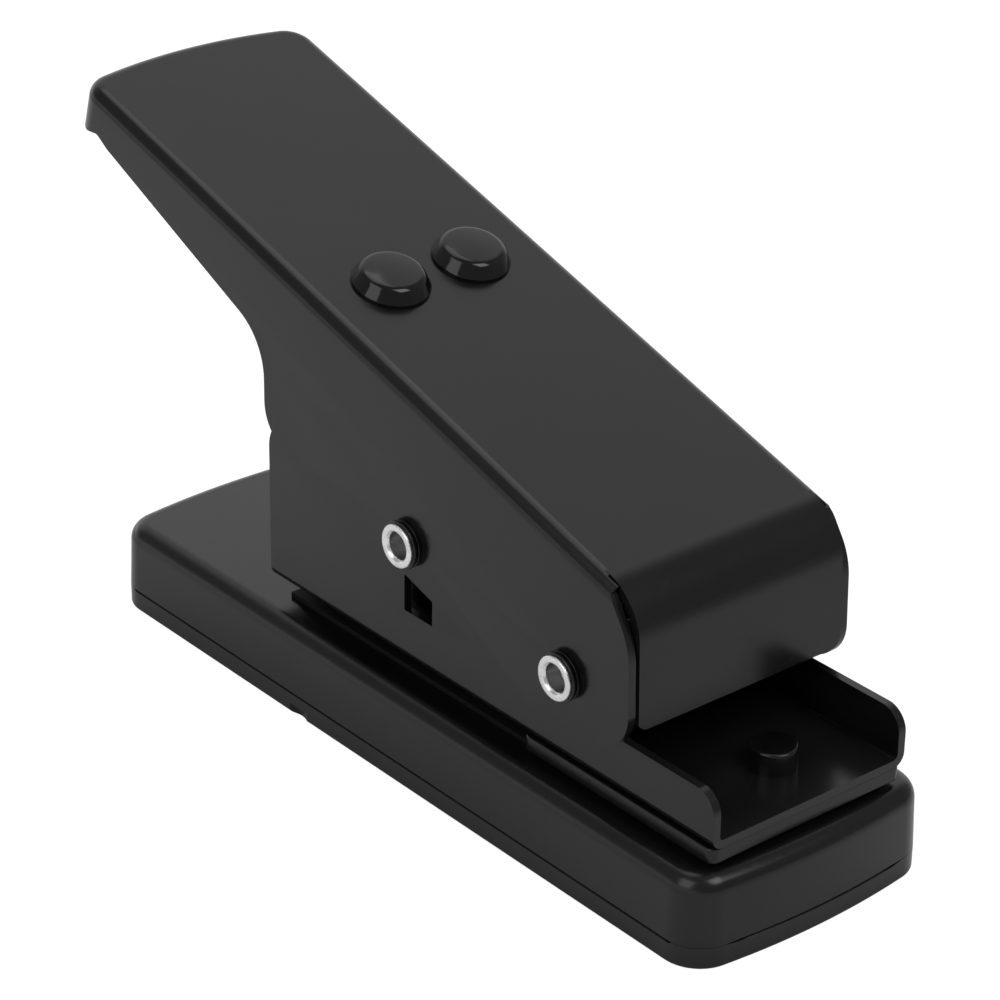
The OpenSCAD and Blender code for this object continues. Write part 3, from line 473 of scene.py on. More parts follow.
def lathe(name, outline, centre, axis, steps=64):
    """A closed half outline of (radius, height) points turned about an axis through centre."""
    points, faces = [], []
    n = len(outline)
    for s in range(steps):
        a = 2 * math.pi * s / steps
        for r, h in outline:
            x, y = r * math.cos(a), r * math.sin(a)
            points.append({"z": (x, y, h), "y": (x, h, y)}[axis])
    for s in range(steps):
        t = (s + 1) % steps
        for k in range(n):
            m = (k + 1) % n
            faces.append([s * n + k, s * n + m, t * n + m, t * n + k])
    points = [tuple(c + d for c, d in zip(centre, p)) for p in points]
    obj = make_mesh(name, points, faces)
    bm = bmesh.new()
    bm.from_mesh(obj.data)
    bmesh.ops.remove_doubles(bm, verts=bm.verts, dist=AXIS_DIST)
    bmesh.ops.dissolve_degenerate(bm, edges=bm.edges, dist=ZERO_EDGE)
    bmesh.ops.recalc_face_normals(bm, faces=bm.faces)
    bm.to_mesh(obj.data)
    bm.free()
    return obj


def bake(obj):
    """Applies an object's modifiers to its own mesh."""
    graph = bpy.context.evaluated_depsgraph_get()
    mesh = bpy.data.meshes.new_from_object(obj.evaluated_get(graph))
    obj.modifiers.clear()
    obj.data = mesh
    return obj


def combine(obj, others, operation):
    for other in others:
        step = obj.modifiers.new(operation, "BOOLEAN")
        step.operation = operation
        step.solver = "EXACT"
        step.object = other
    bake(obj)
    for other in others:
        bpy.data.objects.remove(other)
    return obj


def cut(obj, *cutters):
    return combine(obj, cutters, "DIFFERENCE")


def keep(obj, *shapes):
    return combine(obj, shapes, "INTERSECT")


def weld(obj, *others):
    return combine(obj, others, "UNION")


def even_normals(obj):
    """Lets the large faces set the normals, so that they shade flat beside their round edges."""
    even = obj.modifiers.new("even", "WEIGHTED_NORMAL")
    even.keep_sharp = True
    even.weight = EVEN_WEIGHT
    return bake(obj)


def soften(obj, width, steps=3):
    """Rounds each crisp edge by a small real width and smooths the faces."""
    bm = bmesh.new()
    bm.from_mesh(obj.data)
    bmesh.ops.remove_doubles(bm, verts=bm.verts, dist=BOOLEAN_DIST)
    flat = math.radians(FLAT_ANGLE)
    bmesh.ops.dissolve_limit(bm, angle_limit=flat, verts=bm.verts, edges=bm.edges)
    bm.to_mesh(obj.data)
    bm.free()
    edge = obj.modifiers.new("edge", "BEVEL")
    edge.width = width * MM
    edge.segments = steps
    edge.limit_method = "ANGLE"
    edge.angle_limit = math.radians(CRISP_ANGLE)
    edge.harden_normals = False
    edge.use_clamp_overlap = True
    bake(obj)
    return even_normals(smooth(obj))


def smooth(obj, angle=FOLDED_ANGLE):
    """Shades an object smooth, except where its faces meet at more than an angle in degrees."""
    obj.data.polygons.foreach_set("use_smooth", [True] * len(obj.data.polygons))
    obj.data.set_sharp_from_angle(angle=math.radians(angle))
    obj.data.update()
    return obj


def dress(obj, material, *nodes, slot=None):
    """Gives a piece its material and puts it in the place of its CAD nodes."""
    obj.data.materials.clear()
    obj.data.materials.append(material)
    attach(obj, BODY_OF[nodes[0]])
    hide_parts(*nodes)
    return obj


def at_lever(obj):
    """Moves a piece made in the lever's own axes, with the hinge at the origin, to its place."""
    turn = Matrix.Rotation(math.radians(LEVER_SLOPE), 4, "Y")
    obj.data.transform(Matrix.Translation(Vector(HINGE) * MM) @ turn)
    return obj


def rod(name, x, y, r, lo, hi, axis="z"):
    return prism(name, circle(x, y, r), axis, lo, hi)


def rectangle(lo, hi):
    return [(lo[0], lo[1]), (hi[0], lo[1]), (hi[0], hi[1]), (lo[0], hi[1])]


def box(name, lo, hi):
    return prism(name, rectangle(lo, hi), "z", lo[2], hi[2])


# Base

def ring_at(inset, z, corner_z=None):
    """The base's outline at height z, or at another height round its four corners."""
    reach_x, reach_y = BASE_L / 2 - CORNER_R, BASE_W / 2 - CORNER_R
    path = base_path(inset)
    if corner_z is None:
        return [(x, y, z) for x, y in path]
    return [(x, y, corner_z if abs(x) > reach_x and abs(y) > reach_y else z) for x, y in path]


def make_base():
    rings = [ring_at(SEAM_EDGE, SEAM_Z), ring_at(0.0, SEAM_Z + SEAM_EDGE, SEAM_Z)]
    for lean in quarter(BASE_EDGE_STEPS):
        inset = DRAFT + EDGE_R * (1 - math.cos(lean))
        rings.append(ring_at(inset, BASE_HI[2] - EDGE_R * (1 - math.sin(lean))))
    housing = ring_solid("Base_Housing", rings)
    chamber_z = DIE_LO[2] - WALL
    chamber = prism("chamber", base_path(WALL + DRAFT), "z", SEAM_Z - OVER, chamber_z)
    pocket = box("pocket", (DIE_LO[0] - PRESS_SLIP, DIE_LO[1] - PRESS_SLIP, DIE_LO[2]),
                 (DIE_HI[0] + PRESS_SLIP, DIE_HI[1] + PRESS_SLIP, DIE_HI[2] + OVER))
    way_out = pick_prism("way_out", WALL, chamber_z - OVER, DIE_LO[2] + OVER)
    cut(housing, chamber, pocket, way_out)
    even_normals(smooth(housing, MOULDED_ANGLE))
    dress(housing, PLASTIC, "base_housing")


def make_cover():
    rings = []
    for lean in quarter(COVER_EDGE_STEPS):
        inset = COVER_EDGE_R * (1 - math.sin(lean))
        rings.append(ring_at(inset, COVER_EDGE_R * (1 - math.cos(lean))))
    top = SEAM_Z - SEAM_GAP
    rings.append(ring_at(0.0, top - SEAM_EDGE, SEAM_Z - CORNER_GAPS[0]))
    rings.append(ring_at(SEAM_EDGE, top, SEAM_Z - CORNER_GAPS[1]))
    cover = ring_solid("Bottom_Cover", rings)
    lip = WALL + DRAFT + COVER_SLIP
    weld(cover, prism("lip", base_path(lip), "z", COVER_EDGE_R, COVER_TOP))
    nail_r = (NAIL_L ** 2 / 4 + NAIL_DEPTH ** 2) / (2 * NAIL_DEPTH)
    nail_y = -BASE_W / 2 + NAIL_DEPTH - nail_r
    cut(cover, prism("hollow", base_path(lip + COVER_LIP_T), "z", COVER_FLOOR, COVER_TOP + OVER),
        rod("notch", -NAIL_BACK, nail_y, nail_r, -OVER, COVER_FLOOR))
    even_normals(smooth(cover, MOULDED_ANGLE))
    dress(cover, PLASTIC, "bottom_cover")


def pick_points(grow, steps=24):
    """The punch's outline drawn out by grow: three round corners joined by bowed sides."""
    hi = cad("punch")[1]
    tip = Vector((hi[0] - PICK_TIP_R, 0.0))
    left = Vector((hi[0] - PICK_L + PICK_SHOULDER_R, hi[1] - PICK_SHOULDER_R))
    right = Vector((left.x, -left.y))
    corners = [(tip, PICK_TIP_R), (left, PICK_SHOULDER_R), (right, PICK_SHOULDER_R)]
    bows = [PICK_SIDE_R, PICK_END_R, PICK_SIDE_R]
    sides = []
    for i, (a, ra) in enumerate(corners):
        b, rb = corners[(i + 1) % 3]
        d = (b - a).length
        p, q = bows[i] - ra, bows[i] - rb
        x = (d * d + p * p - q * q) / (2 * d)
        y = math.sqrt(p * p - x * x)
        u = (b - a) / d
        o = a + u * x + Vector((-u.y, u.x)) * y
        start, sweep = math.atan2(a.y - o.y, a.x - o.x), (a - o).angle_signed(b - o) * -1
        sides.append((o, bows[i], start, sweep))
    points = []
    for i, (o, r, start, sweep) in enumerate(sides):
        points += arc(o.x, o.y, r + grow, start, sweep, steps)
        corner, corner_r = corners[(i + 1) % 3]
        last, following = start + sweep, sides[(i + 1) % 3][2]
        turn = (following - last) % (2 * math.pi)
        points += arc(corner.x, corner.y, corner_r + grow, last, turn, steps)[1:-1]
    return points


def pick_prism(name, grow, lo, hi):
    return prism(name, pick_points(grow), "z", lo, hi)


def make_die_and_stops():
    die = box("Die_Plate", DIE_LO, DIE_HI)
    cut(die, pick_prism("die_hole", PUNCH_SLIP, DIE_LO[2] - OVER, DIE_HI[2] + OVER))
    soften(die, DIE_EDGE, steps=2)
    # Painted shade: the die plate, in shade under the frame, gets the near-black dull coat
    dress(die, SHADE_BLACK, "die_plate")
    for name in ("Front_Stop_Plate", "Rear_Stop_Plate"):
        node = name.lower()
        lo, hi = cad(node)
        path = [(x, y, STOP_CORNER_R) for x, y in rectangle(lo, hi)]
        plate = soften(prism(name, rounded(path), "z", lo[2], hi[2]), STOP_EDGE)
        dress(plate, COATED, node)


# Frame

def channel_section(width, foot, height, bend_r):
    """A folded channel, open at the top, as one outline in y and z, drawn round the sheet."""
    half, inner, inner_r = width / 2, width / 2 - SHEET, bend_r - SHEET
    top = foot + height
    outer = [(-half, top, 0), (-half, foot, bend_r), (half, foot, bend_r), (half, top, 0)]
    hollow = [(inner, top, 0), (inner, foot + SHEET, inner_r),
              (-inner, foot + SHEET, inner_r), (-inner, top, 0)]
    return rounded(outer) + rounded(hollow)


def frame_profile():
    """Side view of the frame: the foot, the flange, the hinge's boss and the high wall."""
    (rear, _, foot), (front, _, top) = FRAME_LO, FRAME_HI
    boss_front, boss_top = HINGE[0] + HINGE_BOSS_R, HINGE[2] + HINGE_BOSS_R
    return rounded([(rear, foot, FOOT_CORNER_R), (front, foot, 0),
                    (front, foot + FLANGE_H, FLANGE_CORNER_R),
                    (boss_front, foot + FLANGE_H, FOOT_CORNER_R),
                    (boss_front, boss_top, HINGE_BOSS_R),
                    (HINGE[0] - HINGE_BOSS_R, boss_top, HINGE_BOSS_R),
                    (HINGE[0] - WALL_FALL_BACK, top, WALL_CORNER_R), (rear, top, WALL_CORNER_R)])


def make_frame():
    reach = FRAME_W / 2 + OVER
    foot = FRAME_LO[2]
    section = channel_section(FRAME_W, foot, FRAME_HI[2] - foot, FRAME_BEND_R)
    channel = prism("Frame_Channel", section, "x", FRAME_LO[0], FRAME_HI[0])
    keep(channel, prism("side", frame_profile(), "y", -reach, reach))
    slot = box("slot", (PUNCH_X - SLOT_W / 2, -reach, foot + SLOT_FOOT),
               (PUNCH_X + SLOT_W / 2, reach, DRIVE[2] + DRIVE_PIN_R + PIN_ROOM))
    pin_hole = rod("pin_hole", HINGE[0], HINGE[2], HINGE_PIN_R + PRESS_SLIP, -reach, reach, "y")
    cut(channel, slot, pin_hole, pick_prism("floor_hole", PUNCH_SLIP, foot - OVER, FLOOR_Z + OVER))
    soften(channel, FRAME_EDGE)
    dress(channel, COATED, "frame_channel")


# Lever

def lever_block(name, inset, foot, steps=9):
    """Solid of the lever's outside, or of its inside if inset by the sheet, with round edges."""
    front, half = 2 * FOLD_R, LEVER_W / 2
    rows = [(inset, -foot)]
    for lean in quarter(steps):
        rows.append((inset + (LEVER_BEND_R - inset) * (1 - math.cos(lean)),
                     LEVER_RISE - LEVER_BEND_R + (LEVER_BEND_R - inset) * math.sin(lean)))
    rings = []
    for inward, z in rows:
        path = [(front, inward - half), (front, half - inward)]
        path += bowed_end(-LEVER_BACK, half, HANDLE_BOW_R, HANDLE_CORNER_R, inward)
        rings.append([(x, y, z) for x, y in path])
    return ring_solid(name, rings)


def cross(a, b):
    return a.x * b.y - a.y * b.x


def falling(angle):
    """Direction that falls to the front by an angle in degrees, in x and z of the lever."""
    return Vector((math.cos(math.radians(angle)), -math.sin(math.radians(angle))))


def fold_frame():
    """Fold centre, the way down the flap and the way out of its face, in x and z of the lever."""
    down = falling(FOLD_ANGLE)
    return Vector((FOLD_FRONT, LEVER_RISE - FOLD_R)), down, Vector((-down.y, down.x))


def lever_profile():
    """Side view of the lever: the nose, the skirt, the throat, the handle and its lip."""
    centre, down, out = fold_frame()
    front_top = centre + out * (FOLD_R - NOSE_BACK)
    foot = front_top + down * ((front_top.y + NOSE_DROP) / -down.y)
    slope = falling(NOSE_SLOPE)
    start = Vector((NOSE_START, LEVER_RISE - NOSE_NOTCH))
    gap = front_top - start
    bend = start + slope * (cross(gap, down) / cross(slope, down))
    top, rear, relief_x = LEVER_RISE + OVER, -LEVER_BACK - OVER, RELIEF_BACK - LEVER_BACK
    return rounded([(rear, top, 0), (NOSE_START, top, 0), (start.x, start.y, 0),
                    (bend.x, bend.y, NOSE_BEND_R), (foot.x, foot.y, NOSE_R),
                    (-NOSE_EDGE_BACK, -SKIRT_FRONT, FOLD_R),
                    (-SKIRT_END_BACK, -SKIRT_REAR, SKIRT_CORNER_R),
                    (-HANDLE_START_BACK, LEVER_RISE - HANDLE_DEPTH, THROAT_R),
                    (relief_x + RELIEF_HALF, LEVER_RISE - HANDLE_END_DEPTH, RELIEF_R),
                    (relief_x, LEVER_RISE - RELIEF_DEPTH, RELIEF_R / 2),
                    (relief_x - RELIEF_HALF, LEVER_RISE - LIP_DEPTH, RELIEF_R),
                    (rear, LEVER_RISE - LIP_DEPTH, 0)])


def make_flap(half, steps=18):
    """The front flap, rolled down from the lever's top, with two rounded lower corners."""
    centre, down, out = fold_frame()
    angles = [math.radians(90 - FOLD_ANGLE * i / steps) for i in range(steps + 1)]
    ways = [Vector((math.cos(a), math.sin(a))) for a in angles]
    outer = [centre + way * FOLD_R for way in ways]
    inner = [centre + way * (FOLD_R - SHEET) for way in reversed(ways)]
    ends = [outer[-1] + down * FLAP_L, inner[0] + down * FLAP_L]
    outline = [(FOLD_FRONT - OVER, LEVER_RISE - SHEET), (FOLD_FRONT - OVER, LEVER_RISE)]
    outline += [tuple(p) for p in outer + ends + inner]
    strip = prism("flap", outline, "y", -half, half)
    front = rounded([(-half, FLAP_L, FLAP_CORNER_R), (half, FLAP_L, FLAP_CORNER_R),
                     (half, -2 * FOLD_R, 0), (-half, -2 * FOLD_R, 0)])
    rings = []
    for depth in (-2 * FOLD_R, 2 * FOLD_R):
        ring = []
        for y, run in front:
            p = centre + down * run + out * depth
            ring.append((p.x, y, p.y))
        rings.append(ring)
    return keep(strip, ring_solid("flap_front", rings))


def make_lever():
    deep, half = 2 * SKIRT_FRONT, LEVER_W / 2
    inner, reach = half - SHEET, half + OVER
    piece = lever_block("Lever", 0.0, deep)
    cut(piece, lever_block("hollow", SHEET, deep + OVER),
        box("nose_gap", (FOLD_FRONT, -inner, -deep), (3 * FOLD_R, inner, deep + LEVER_RISE)))
    keep(piece, prism("side", lever_profile(), "y", -reach, reach))
    weld(piece, make_flap(inner - FLAP_SEAM))
    drive = Matrix.Rotation(math.radians(-LEVER_SLOPE), 3, "Y") @ (Vector(DRIVE) - Vector(HINGE))
    cut(piece, rod("hinge_hole", 0.0, 0.0, HINGE_PIN_R + TURN_SLIP, -reach, reach, "y"),
        rod("drive_hole", drive.x, drive.z, DRIVE_PIN_R + PRESS_SLIP, -reach, reach, "y"))
    at_lever(soften(piece, LEVER_EDGE))
    dress(piece, LEVER_COAT, "lever")


def make_stiffener():
    section = channel_section(STIFFENER_W, 0.0, STIFFENER_LIP + SHEET, 2 * SHEET)
    top, half = LEVER_RISE - SHEET - PRESS_SLIP, STIFFENER_L / 2
    turned = [(y, top - z) for y, z in section]
    piece = prism("Lever_Stiffener", turned, "x", -RIVET_BACK - half, -RIVET_BACK + half)
    at_lever(soften(piece, STIFFENER_EDGE))
    dress(piece, COATED, "lever_stiffener")


def make_rivets():
    """Glossy domed heads with a steep flank, and their flattened tails under the stiffener."""
    r, top = RIVET_HEAD_R, RIVET_HEAD_H
    under = -2 * SHEET - 2 * PRESS_SLIP
    end = under - RIVET_TAIL_H
    head = rounded([(0.0, PRESS_SLIP, 0), (r, PRESS_SLIP, 0), (r, RIVET_FOOT_H, RIVET_FOOT_R),
                    (r - RIVET_FLANK, top - RIVET_CROWN, RIVET_CROWN_R), (0.0, top, 0)], steps=14)
    shank = rectangle((0.0, under), (RIVET_SHANK_R, SHANK_OVERLAP))
    tail = rounded([(0.0, end, 0), (RIVET_TAIL_R, end, RIVET_TAIL_EDGE_R),
                    (RIVET_TAIL_R, under, 0), (0.0, under, 0)])
    for side, label in SIDES:
        body = lathe("Rivet_" + label, head, (0, 0, 0), "z", steps=96)
        weld(body, lathe("shank", shank, (0, 0, 0), "z"), lathe("tail", tail, (0, 0, 0), "z"))
        place = Vector((-RIVET_BACK, side * RIVET_SIDE, LEVER_RISE)) * MM
        body.data.transform(Matrix.Translation(place))
        at_lever(smooth(body, DOME_ANGLE))
        dress(body, GLOSSY, "lever_rivets")


# Pins

def tube_end(r_head, r_shaft, tip):
    """Half outline of a flared tubular end: the hole's floor, the rolled rim, the head."""
    floor_h, flare_h, seat = tip - PIN_HOLE_DEPTH, tip - PIN_FLARE_H, tip - PIN_HEAD_T
    return [(0.0, floor_h, 0), (PIN_HOLE_R, floor_h, PIN_HOLE_FLOOR_R),
            (PIN_HOLE_R, flare_h, PIN_FLARE_BEND), (PIN_HOLE_R + PIN_FLARE_R, tip, PIN_RIM_R),
            (r_head, tip, PIN_HEAD_EDGES[0]), (r_head, seat, PIN_HEAD_EDGES[1]), (r_shaft, seat, 0)]


def make_pin(name, node, r_shaft, centre):
    """A pin with two tubular ends, whose holes get a darker copy of its steel as painted shade."""
    lo, hi = cad(node)
    tip = (hi[1] - lo[1]) / 2
    end = tube_end((hi[0] - lo[0]) / 2, r_shaft, tip)
    mirrored = [(r, -h, c) for r, h, c in reversed(end)]
    outline = rounded(end + mirrored, steps=6)
    piece = smooth(lathe(name, outline, centre, "y", steps=80), MOULDED_ANGLE)
    dress(piece, BRIGHT_RING, node)
    piece.data.materials.append(HOLE_SHADE_STEEL)
    # Faces inside each hole take the darker steel: painted shade
    axis, hole_r, rim = Vector(centre) * MM, HOLE_WALL_R * MM, (tip - HOLE_WALL_BACK) * MM
    for face in piece.data.polygons:
        out = face.center - axis
        face.material_index = int(math.hypot(out.x, out.z) < hole_r and abs(out.y) < rim)


def make_washers(name, node, r_hole):
    """A black washer with a lock ring on it, on each side, with a groove where they meet."""
    lo, hi = cad(node)
    r = (hi[0] - lo[0]) / 2
    centre = middle(node)
    outer = hi[1] - centre[1]
    foot = outer - WASHER_STACK
    seam = foot + RING_SEAM
    path = [(r_hole, foot, 0), (r - RING_STEP, foot, WASHER_EDGE_R),
            (r - RING_STEP, seam - RING_GROOVE, WASHER_EDGE_R), (r - RING_GROOVE_DEPTH, seam, 0),
            (r, seam + RING_GROOVE, WASHER_EDGE_R), (r, outer, RING_EDGE_R), (r_hole, outer, 0)]
    for side, label in SIDES:
        outline = [(a, side * h) for a, h in rounded(path, steps=5)]
        piece = smooth(lathe(name + "_" + label, outline, centre, "y", steps=72), MOULDED_ANGLE)
        dress(piece, COATED, node)


def make_sleeve(name, node, r_hole):
    """One sleeve over the whole width, or one on each side of the punch holder."""
    lo, hi = cad(node)
    centre = middle(node)
    r = (hi[0] - lo[0]) / 2
    outer = (hi[1] - lo[1]) / 2
    if node == "hinge_sleeve":
        spans = ((-outer, outer, ""),)
    else:
        inner = outer - DRIVE_SLEEVE_L
        spans = ((-outer, -inner, "_Right"), (inner, outer, "_Left"))
    for foot, top, label in spans:
        path = [(r_hole, foot, SLEEVE_BORE_EDGE_R), (r, foot, SLEEVE_EDGE_R),
                (r, top, SLEEVE_EDGE_R), (r_hole, top, SLEEVE_BORE_EDGE_R)]
        outline = rounded(path, steps=4)
        piece = smooth(lathe(name + label, outline, centre, "y"), MOULDED_ANGLE)
        dress(piece, MATERIAL_OF[SLOT_OF[node]], node)


def make_stud():
    lo, hi = cad("front_stud")
    r = (hi[0] - lo[0]) / 2
    foot, under, top = lo[2], DIE_LO[2], hi[2]
    path = [(0.0, foot, 0), (r, foot, STUD_FOOT_EDGE_R), (r, under, 0), (STUD_SHANK_R, under, 0),
            (STUD_SHANK_R, FLOOR_Z, 0), (r, FLOOR_Z, 0), (r, top, STUD_HEAD_EDGE_R), (0.0, top, 0)]
    outline = rounded(path, steps=8)
    piece = lathe("Front_Stud", outline, (STUD[0], STUD[1], 0.0), "z", steps=72)
    dress(smooth(piece, MOULDED_ANGLE), COATED, "front_stud")


# Springs

def make_springs(steps=28, sides=10):
    """Two coil springs, each one smooth tube."""
    lo, hi = cad("return_springs")
    r, wire = SPRING_D / 2, SPRING_WIRE_D / 2
    z0, z1 = lo[2] + wire, hi[2] - wire
    count = SPRING_TURNS * steps
    for x, label in ((lo[0] + r + wire, "Rear"), (hi[0] - r - wire, "Front")):
        rings = []
        for i in range(count + 1):
            a = 2 * math.pi * i / steps
            rise = z0 + (z1 - z0) * i / count
            section = circle(0.0, 0.0, wire, sides)
            rings.append([(x + (r + u) * math.cos(a), (r + u) * math.sin(a), rise + v)
                          for u, v in section])
        piece = ring_solid("Return_Spring_" + label, rings)
        smooth(piece, WIRE_ANGLE)
        dress(piece, SPRING, "return_springs")
        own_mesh(piece)


def round_and_shade_hidden():
    """Pieces that the machine hides keep their CAD mesh, with their crisp edges rounded; the guide
    plate and the punch, seen only in shade through the slot, get a near-black coat of painted
    shade.
    """
    for node in HIDDEN_NODES:
        edge = frame["nodes"][node].modifiers.new("edge", "BEVEL")
        edge.width = HIDDEN_EDGE * MM
        edge.segments = 2
        edge.limit_method = "ANGLE"
        edge.angle_limit = math.radians(HIDDEN_ANGLE)
    # Painted shade: the guide plate and the punch behind the slot are made near-black
    for node in ("guide_plate", "punch"):
        frame["nodes"][node].data.materials[0] = SHADE_BLACK


# Camera, light and floor

LENS, SENSOR, CLIP = 126.35, 36.0, (0.01, 20.0)
CAMERA_AZ, CAMERA_EL, CAMERA_ROLL = 49.741, 27.224, 0.893
CAMERA_DIST, CAMERA_SIDE, CAMERA_UP = 622.917, 24.006, 24.877
NEAR_WALL_Y = -20.2
CAMERA_ZERO = Vector((FRAME_LO[0], FRAME_LO[1] - NEAR_WALL_Y, 0.0))

LAMP_AIM = (0.0, 0.0, 0.04)
LAMPS = (  # name, place, size and power in watts
    ("top", (-0.33, 0.12, 1.2), (0.8, 0.7), 2.0),
    ("left", (0.12, -0.98, 0.72), (0.7, 0.9), 3.6),
    ("right", (0.78, 0.20, 0.97), (0.6, 0.6), 4.6),
)

# Where the room is brighter: a direction, and its cosine where that starts and where it is whole

ROOM_LEVEL, WALL_LEVEL, NEAR_LEVEL = 0.34, 0.92, 1.1
WALL_EDGE = ((-0.951, -0.309, 0.0), -0.24, 0.08)
WALL_FACE = ((-0.3, 0.95, 0.0), -0.10, 0.30)
BELOW = ((0.0, 0.0, -1.0), -0.30, -0.04)
NEAR_SIDE = ((-0.5, -0.85, 0.0), 0.15, 0.55)

# The paper as the camera sees it, and its tone as the object mirrors it: painted light that falls
# off by the place along one way

FLOOR_HALF = 3.0
PAPER_TONE = 0.85
PAPER_GLOW, GLOW_SHARE = 1.17, 0.8
WHITE = (1.0, 1.0, 1.0, 1.0)
PAPER_WAY = (0.8, 0.6, 0.0)
PAPER_SPAN = (-0.3, 0.4)
PAPER_LIGHT_FALLOFF = ((-0.2, 0.92), (0.0, 0.82), (0.1, 0.81), (0.2, 0.66), (0.34, 0.42))


def make_camera():
    az, el, roll = (math.radians(a) for a in (CAMERA_AZ, CAMERA_EL, CAMERA_ROLL))
    right = Vector((math.cos(az), math.sin(az), 0.0))
    back = Vector((math.sin(az) * math.cos(el), -math.cos(az) * math.cos(el), math.sin(el)))
    up = back.cross(right)
    side = right * math.cos(roll) + up * math.sin(roll)
    rise = up * math.cos(roll) - right * math.sin(roll)
    eye = (CAMERA_ZERO + back * CAMERA_DIST + side * CAMERA_SIDE + rise * CAMERA_UP) * MM
    camera = bpy.data.objects.new("camera", bpy.data.cameras.new("camera"))
    camera.data.lens = LENS
    camera.data.sensor_width = SENSOR
    camera.data.clip_start, camera.data.clip_end = CLIP
    turn = Matrix((side, rise, back)).transposed()
    camera.matrix_world = Matrix.Translation(eye) @ turn.to_4x4()
    bpy.context.scene.collection.objects.link(camera)
    bpy.context.scene.camera = camera


def make_lamp(name, place, size, power):
    lamp = bpy.data.objects.new(name, bpy.data.lights.new(name, "AREA"))
    lamp.data.shape = "RECTANGLE"
    lamp.data.size, lamp.data.size_y = size
    lamp.data.energy = power
    lamp.location = place
    lamp.rotation_mode = "QUATERNION"
    lamp.rotation_quaternion = (Vector(LAMP_AIM) - Vector(place)).to_track_quat("-Z", "Y")
    lamp.visible_camera = False
    bpy.context.scene.collection.objects.link(lamp)


def progress(tree, space, way, start, stop, kind="LINEAR"):
    """Goes from 0 to 1 between start and stop, measured along a way through a texture space."""
    nodes, links = tree.nodes, tree.links
    place, reach = nodes.new("ShaderNodeTexCoord"), nodes.new("ShaderNodeVectorMath")
    step = nodes.new("ShaderNodeMapRange")
    reach.operation = "DOT_PRODUCT"
    reach.inputs[1].default_value = way
    links.new(place.outputs[space], reach.inputs[0])
    step.interpolation_type = kind
    step.inputs["From Min"].default_value = start
    step.inputs["From Max"].default_value = stop
    links.new(reach.outputs["Value"], step.inputs["Value"])
    return step.outputs["Result"]


def lobe(world, direction, start, stop):
    """A soft step from 0 to 1 where the world's direction turns towards the given one."""
    way = Vector(direction).normalized()
    return progress(world.node_tree, "Generated", way, start, stop, "SMOOTHSTEP")


def raised(world, level, lobes):
    """A node that adds, to the strength at its third input, the step from the room's level to
    the given one where two lobes meet."""
    nodes, links = world.node_tree.nodes, world.node_tree.links
    both, total = nodes.new("ShaderNodeMath"), nodes.new("ShaderNodeMath")
    both.operation, total.operation = "MULTIPLY", "MULTIPLY_ADD"
    for row, socket in zip(lobes, both.inputs):
        links.new(lobe(world, *row), socket)
    links.new(both.outputs["Value"], total.inputs[0])
    total.inputs[1].default_value = level - ROOM_LEVEL
    return total


def sky(world):
    """Brightness by direction: a dim room, a pale wall behind the handle and a bright strip low on
    the near side."""
    wall = raised(world, WALL_LEVEL, (WALL_EDGE, WALL_FACE))
    wall.inputs[2].default_value = ROOM_LEVEL
    near = raised(world, NEAR_LEVEL, (BELOW, NEAR_SIDE))
    world.node_tree.links.new(wall.outputs["Value"], near.inputs[2])
    return near.outputs["Value"]


def make_studio():
    world = bpy.data.worlds.new("studio")
    bpy.context.scene.world = world
    world.use_nodes = True
    nodes, links = world.node_tree.nodes, world.node_tree.links
    nodes.clear()
    out = nodes.new("ShaderNodeOutputWorld")
    mix = nodes.new("ShaderNodeMixShader")
    room, paper = nodes.new("ShaderNodeBackground"), nodes.new("ShaderNodeBackground")
    room.inputs["Color"].default_value = WHITE
    links.new(sky(world), room.inputs["Strength"])
    paper.inputs["Color"].default_value = WHITE
    paper.inputs["Strength"].default_value = 1.0
    rays = nodes.new("ShaderNodeLightPath")
    links.new(rays.outputs["Is Camera Ray"], mix.inputs["Fac"])
    links.new(room.outputs["Background"], mix.inputs[1])
    links.new(paper.outputs["Background"], mix.inputs[2])
    links.new(mix.outputs["Shader"], out.inputs["Surface"])
    for lamp in LAMPS:
        make_lamp(*lamp)


def set_ramp(node, stops):
    """Gives a colour ramp grey stops of (position, level)."""
    elements = node.color_ramp.elements
    while len(elements) < len(stops):
        elements.new(0.5)
    for element, (at, level) in zip(elements, stops):
        element.position = at
        element.color = (level, level, level, 1.0)


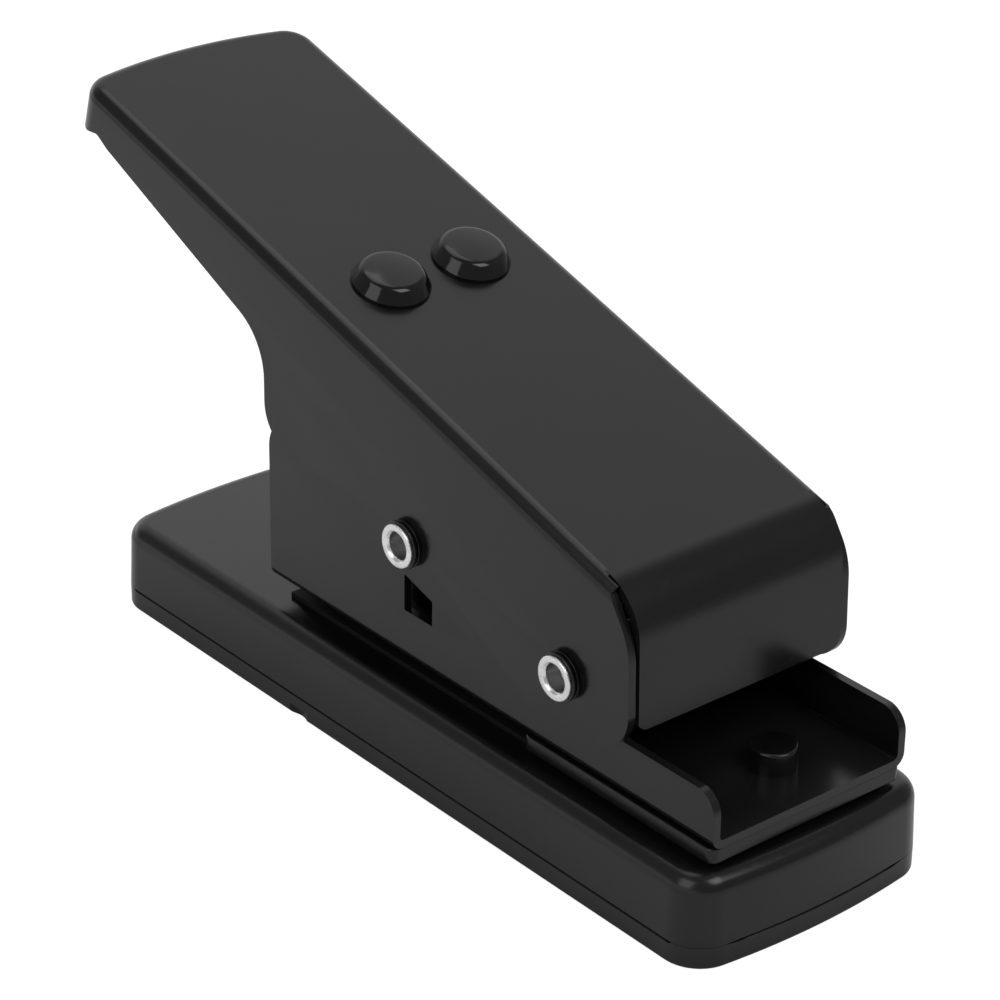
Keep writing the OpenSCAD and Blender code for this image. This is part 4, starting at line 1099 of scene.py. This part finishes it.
def make_floor():
    """White paper with a faint shadow, which the object mirrors with painted light that grows
    dimmer away from the light.
    """
    mat = bpy.data.materials.new("paper")
    mat.use_nodes = True
    nodes, links = mat.node_tree.nodes, mat.node_tree.links
    nodes.clear()
    out = nodes.new("ShaderNodeOutputMaterial")
    mix = nodes.new("ShaderNodeMixShader")
    matt, glow = nodes.new("ShaderNodeBsdfDiffuse"), nodes.new("ShaderNodeEmission")
    glow.inputs["Strength"].default_value = PAPER_GLOW
    rays = nodes.new("ShaderNodeLightPath")
    share = nodes.new("ShaderNodeMath")
    share.operation = "MULTIPLY"
    share.inputs[1].default_value = GLOW_SHARE
    links.new(rays.outputs["Is Camera Ray"], share.inputs[0])
    links.new(share.outputs["Value"], mix.inputs["Fac"])
    # Painted light: for all rays but the camera's, the paper's tone falls off along PAPER_WAY
    start, stop = PAPER_SPAN
    light_falloff = nodes.new("ShaderNodeValToRGB")
    set_ramp(light_falloff, [((at - start) / (stop - start), tone) for at, tone in PAPER_LIGHT_FALLOFF])
    links.new(progress(mat.node_tree, "Object", PAPER_WAY, start, stop), light_falloff.inputs["Fac"])
    seen = nodes.new("ShaderNodeMix")
    links.new(rays.outputs["Is Camera Ray"], seen.inputs["Factor"])
    links.new(light_falloff.outputs["Color"], seen.inputs["A"])
    seen.inputs["B"].default_value = PAPER_TONE
    links.new(seen.outputs["Result"], matt.inputs["Color"])
    links.new(matt.outputs["BSDF"], mix.inputs[1])
    links.new(glow.outputs["Emission"], mix.inputs[2])
    links.new(mix.outputs["Shader"], out.inputs["Surface"])
    corners = rectangle((-FLOOR_HALF, -FLOOR_HALF), (FLOOR_HALF, FLOOR_HALF))
    mesh = bpy.data.meshes.new("floor")
    mesh.from_pydata([(x, y, 0) for x, y in corners], [], [(0, 1, 2, 3)])
    floor = bpy.data.objects.new("floor", mesh)
    floor.data.materials.append(mat)
    bpy.context.scene.collection.objects.link(floor)


make_base()
make_cover()
make_die_and_stops()
make_frame()
make_lever()
make_stiffener()
make_rivets()
make_pin("Hinge_Pin", "hinge_pin", HINGE_PIN_R, HINGE)
make_pin("Drive_Pin", "drive_pin", DRIVE_PIN_R, DRIVE)
make_washers("Hinge_Washer", "hinge_washers", HINGE_PIN_R + PRESS_SLIP)
make_washers("Drive_Washer", "drive_washers", DRIVE_PIN_R + PRESS_SLIP)
make_sleeve("Hinge_Sleeve", "hinge_sleeve", HINGE_PIN_R + PRESS_SLIP)
make_sleeve("Drive_Sleeve", "drive_sleeves", DRIVE_PIN_R + PRESS_SLIP)
make_stud()
make_springs()
round_and_shade_hidden()

make_camera()
make_studio()
make_floor()
bpy.context.scene.view_settings.view_transform = "Standard"
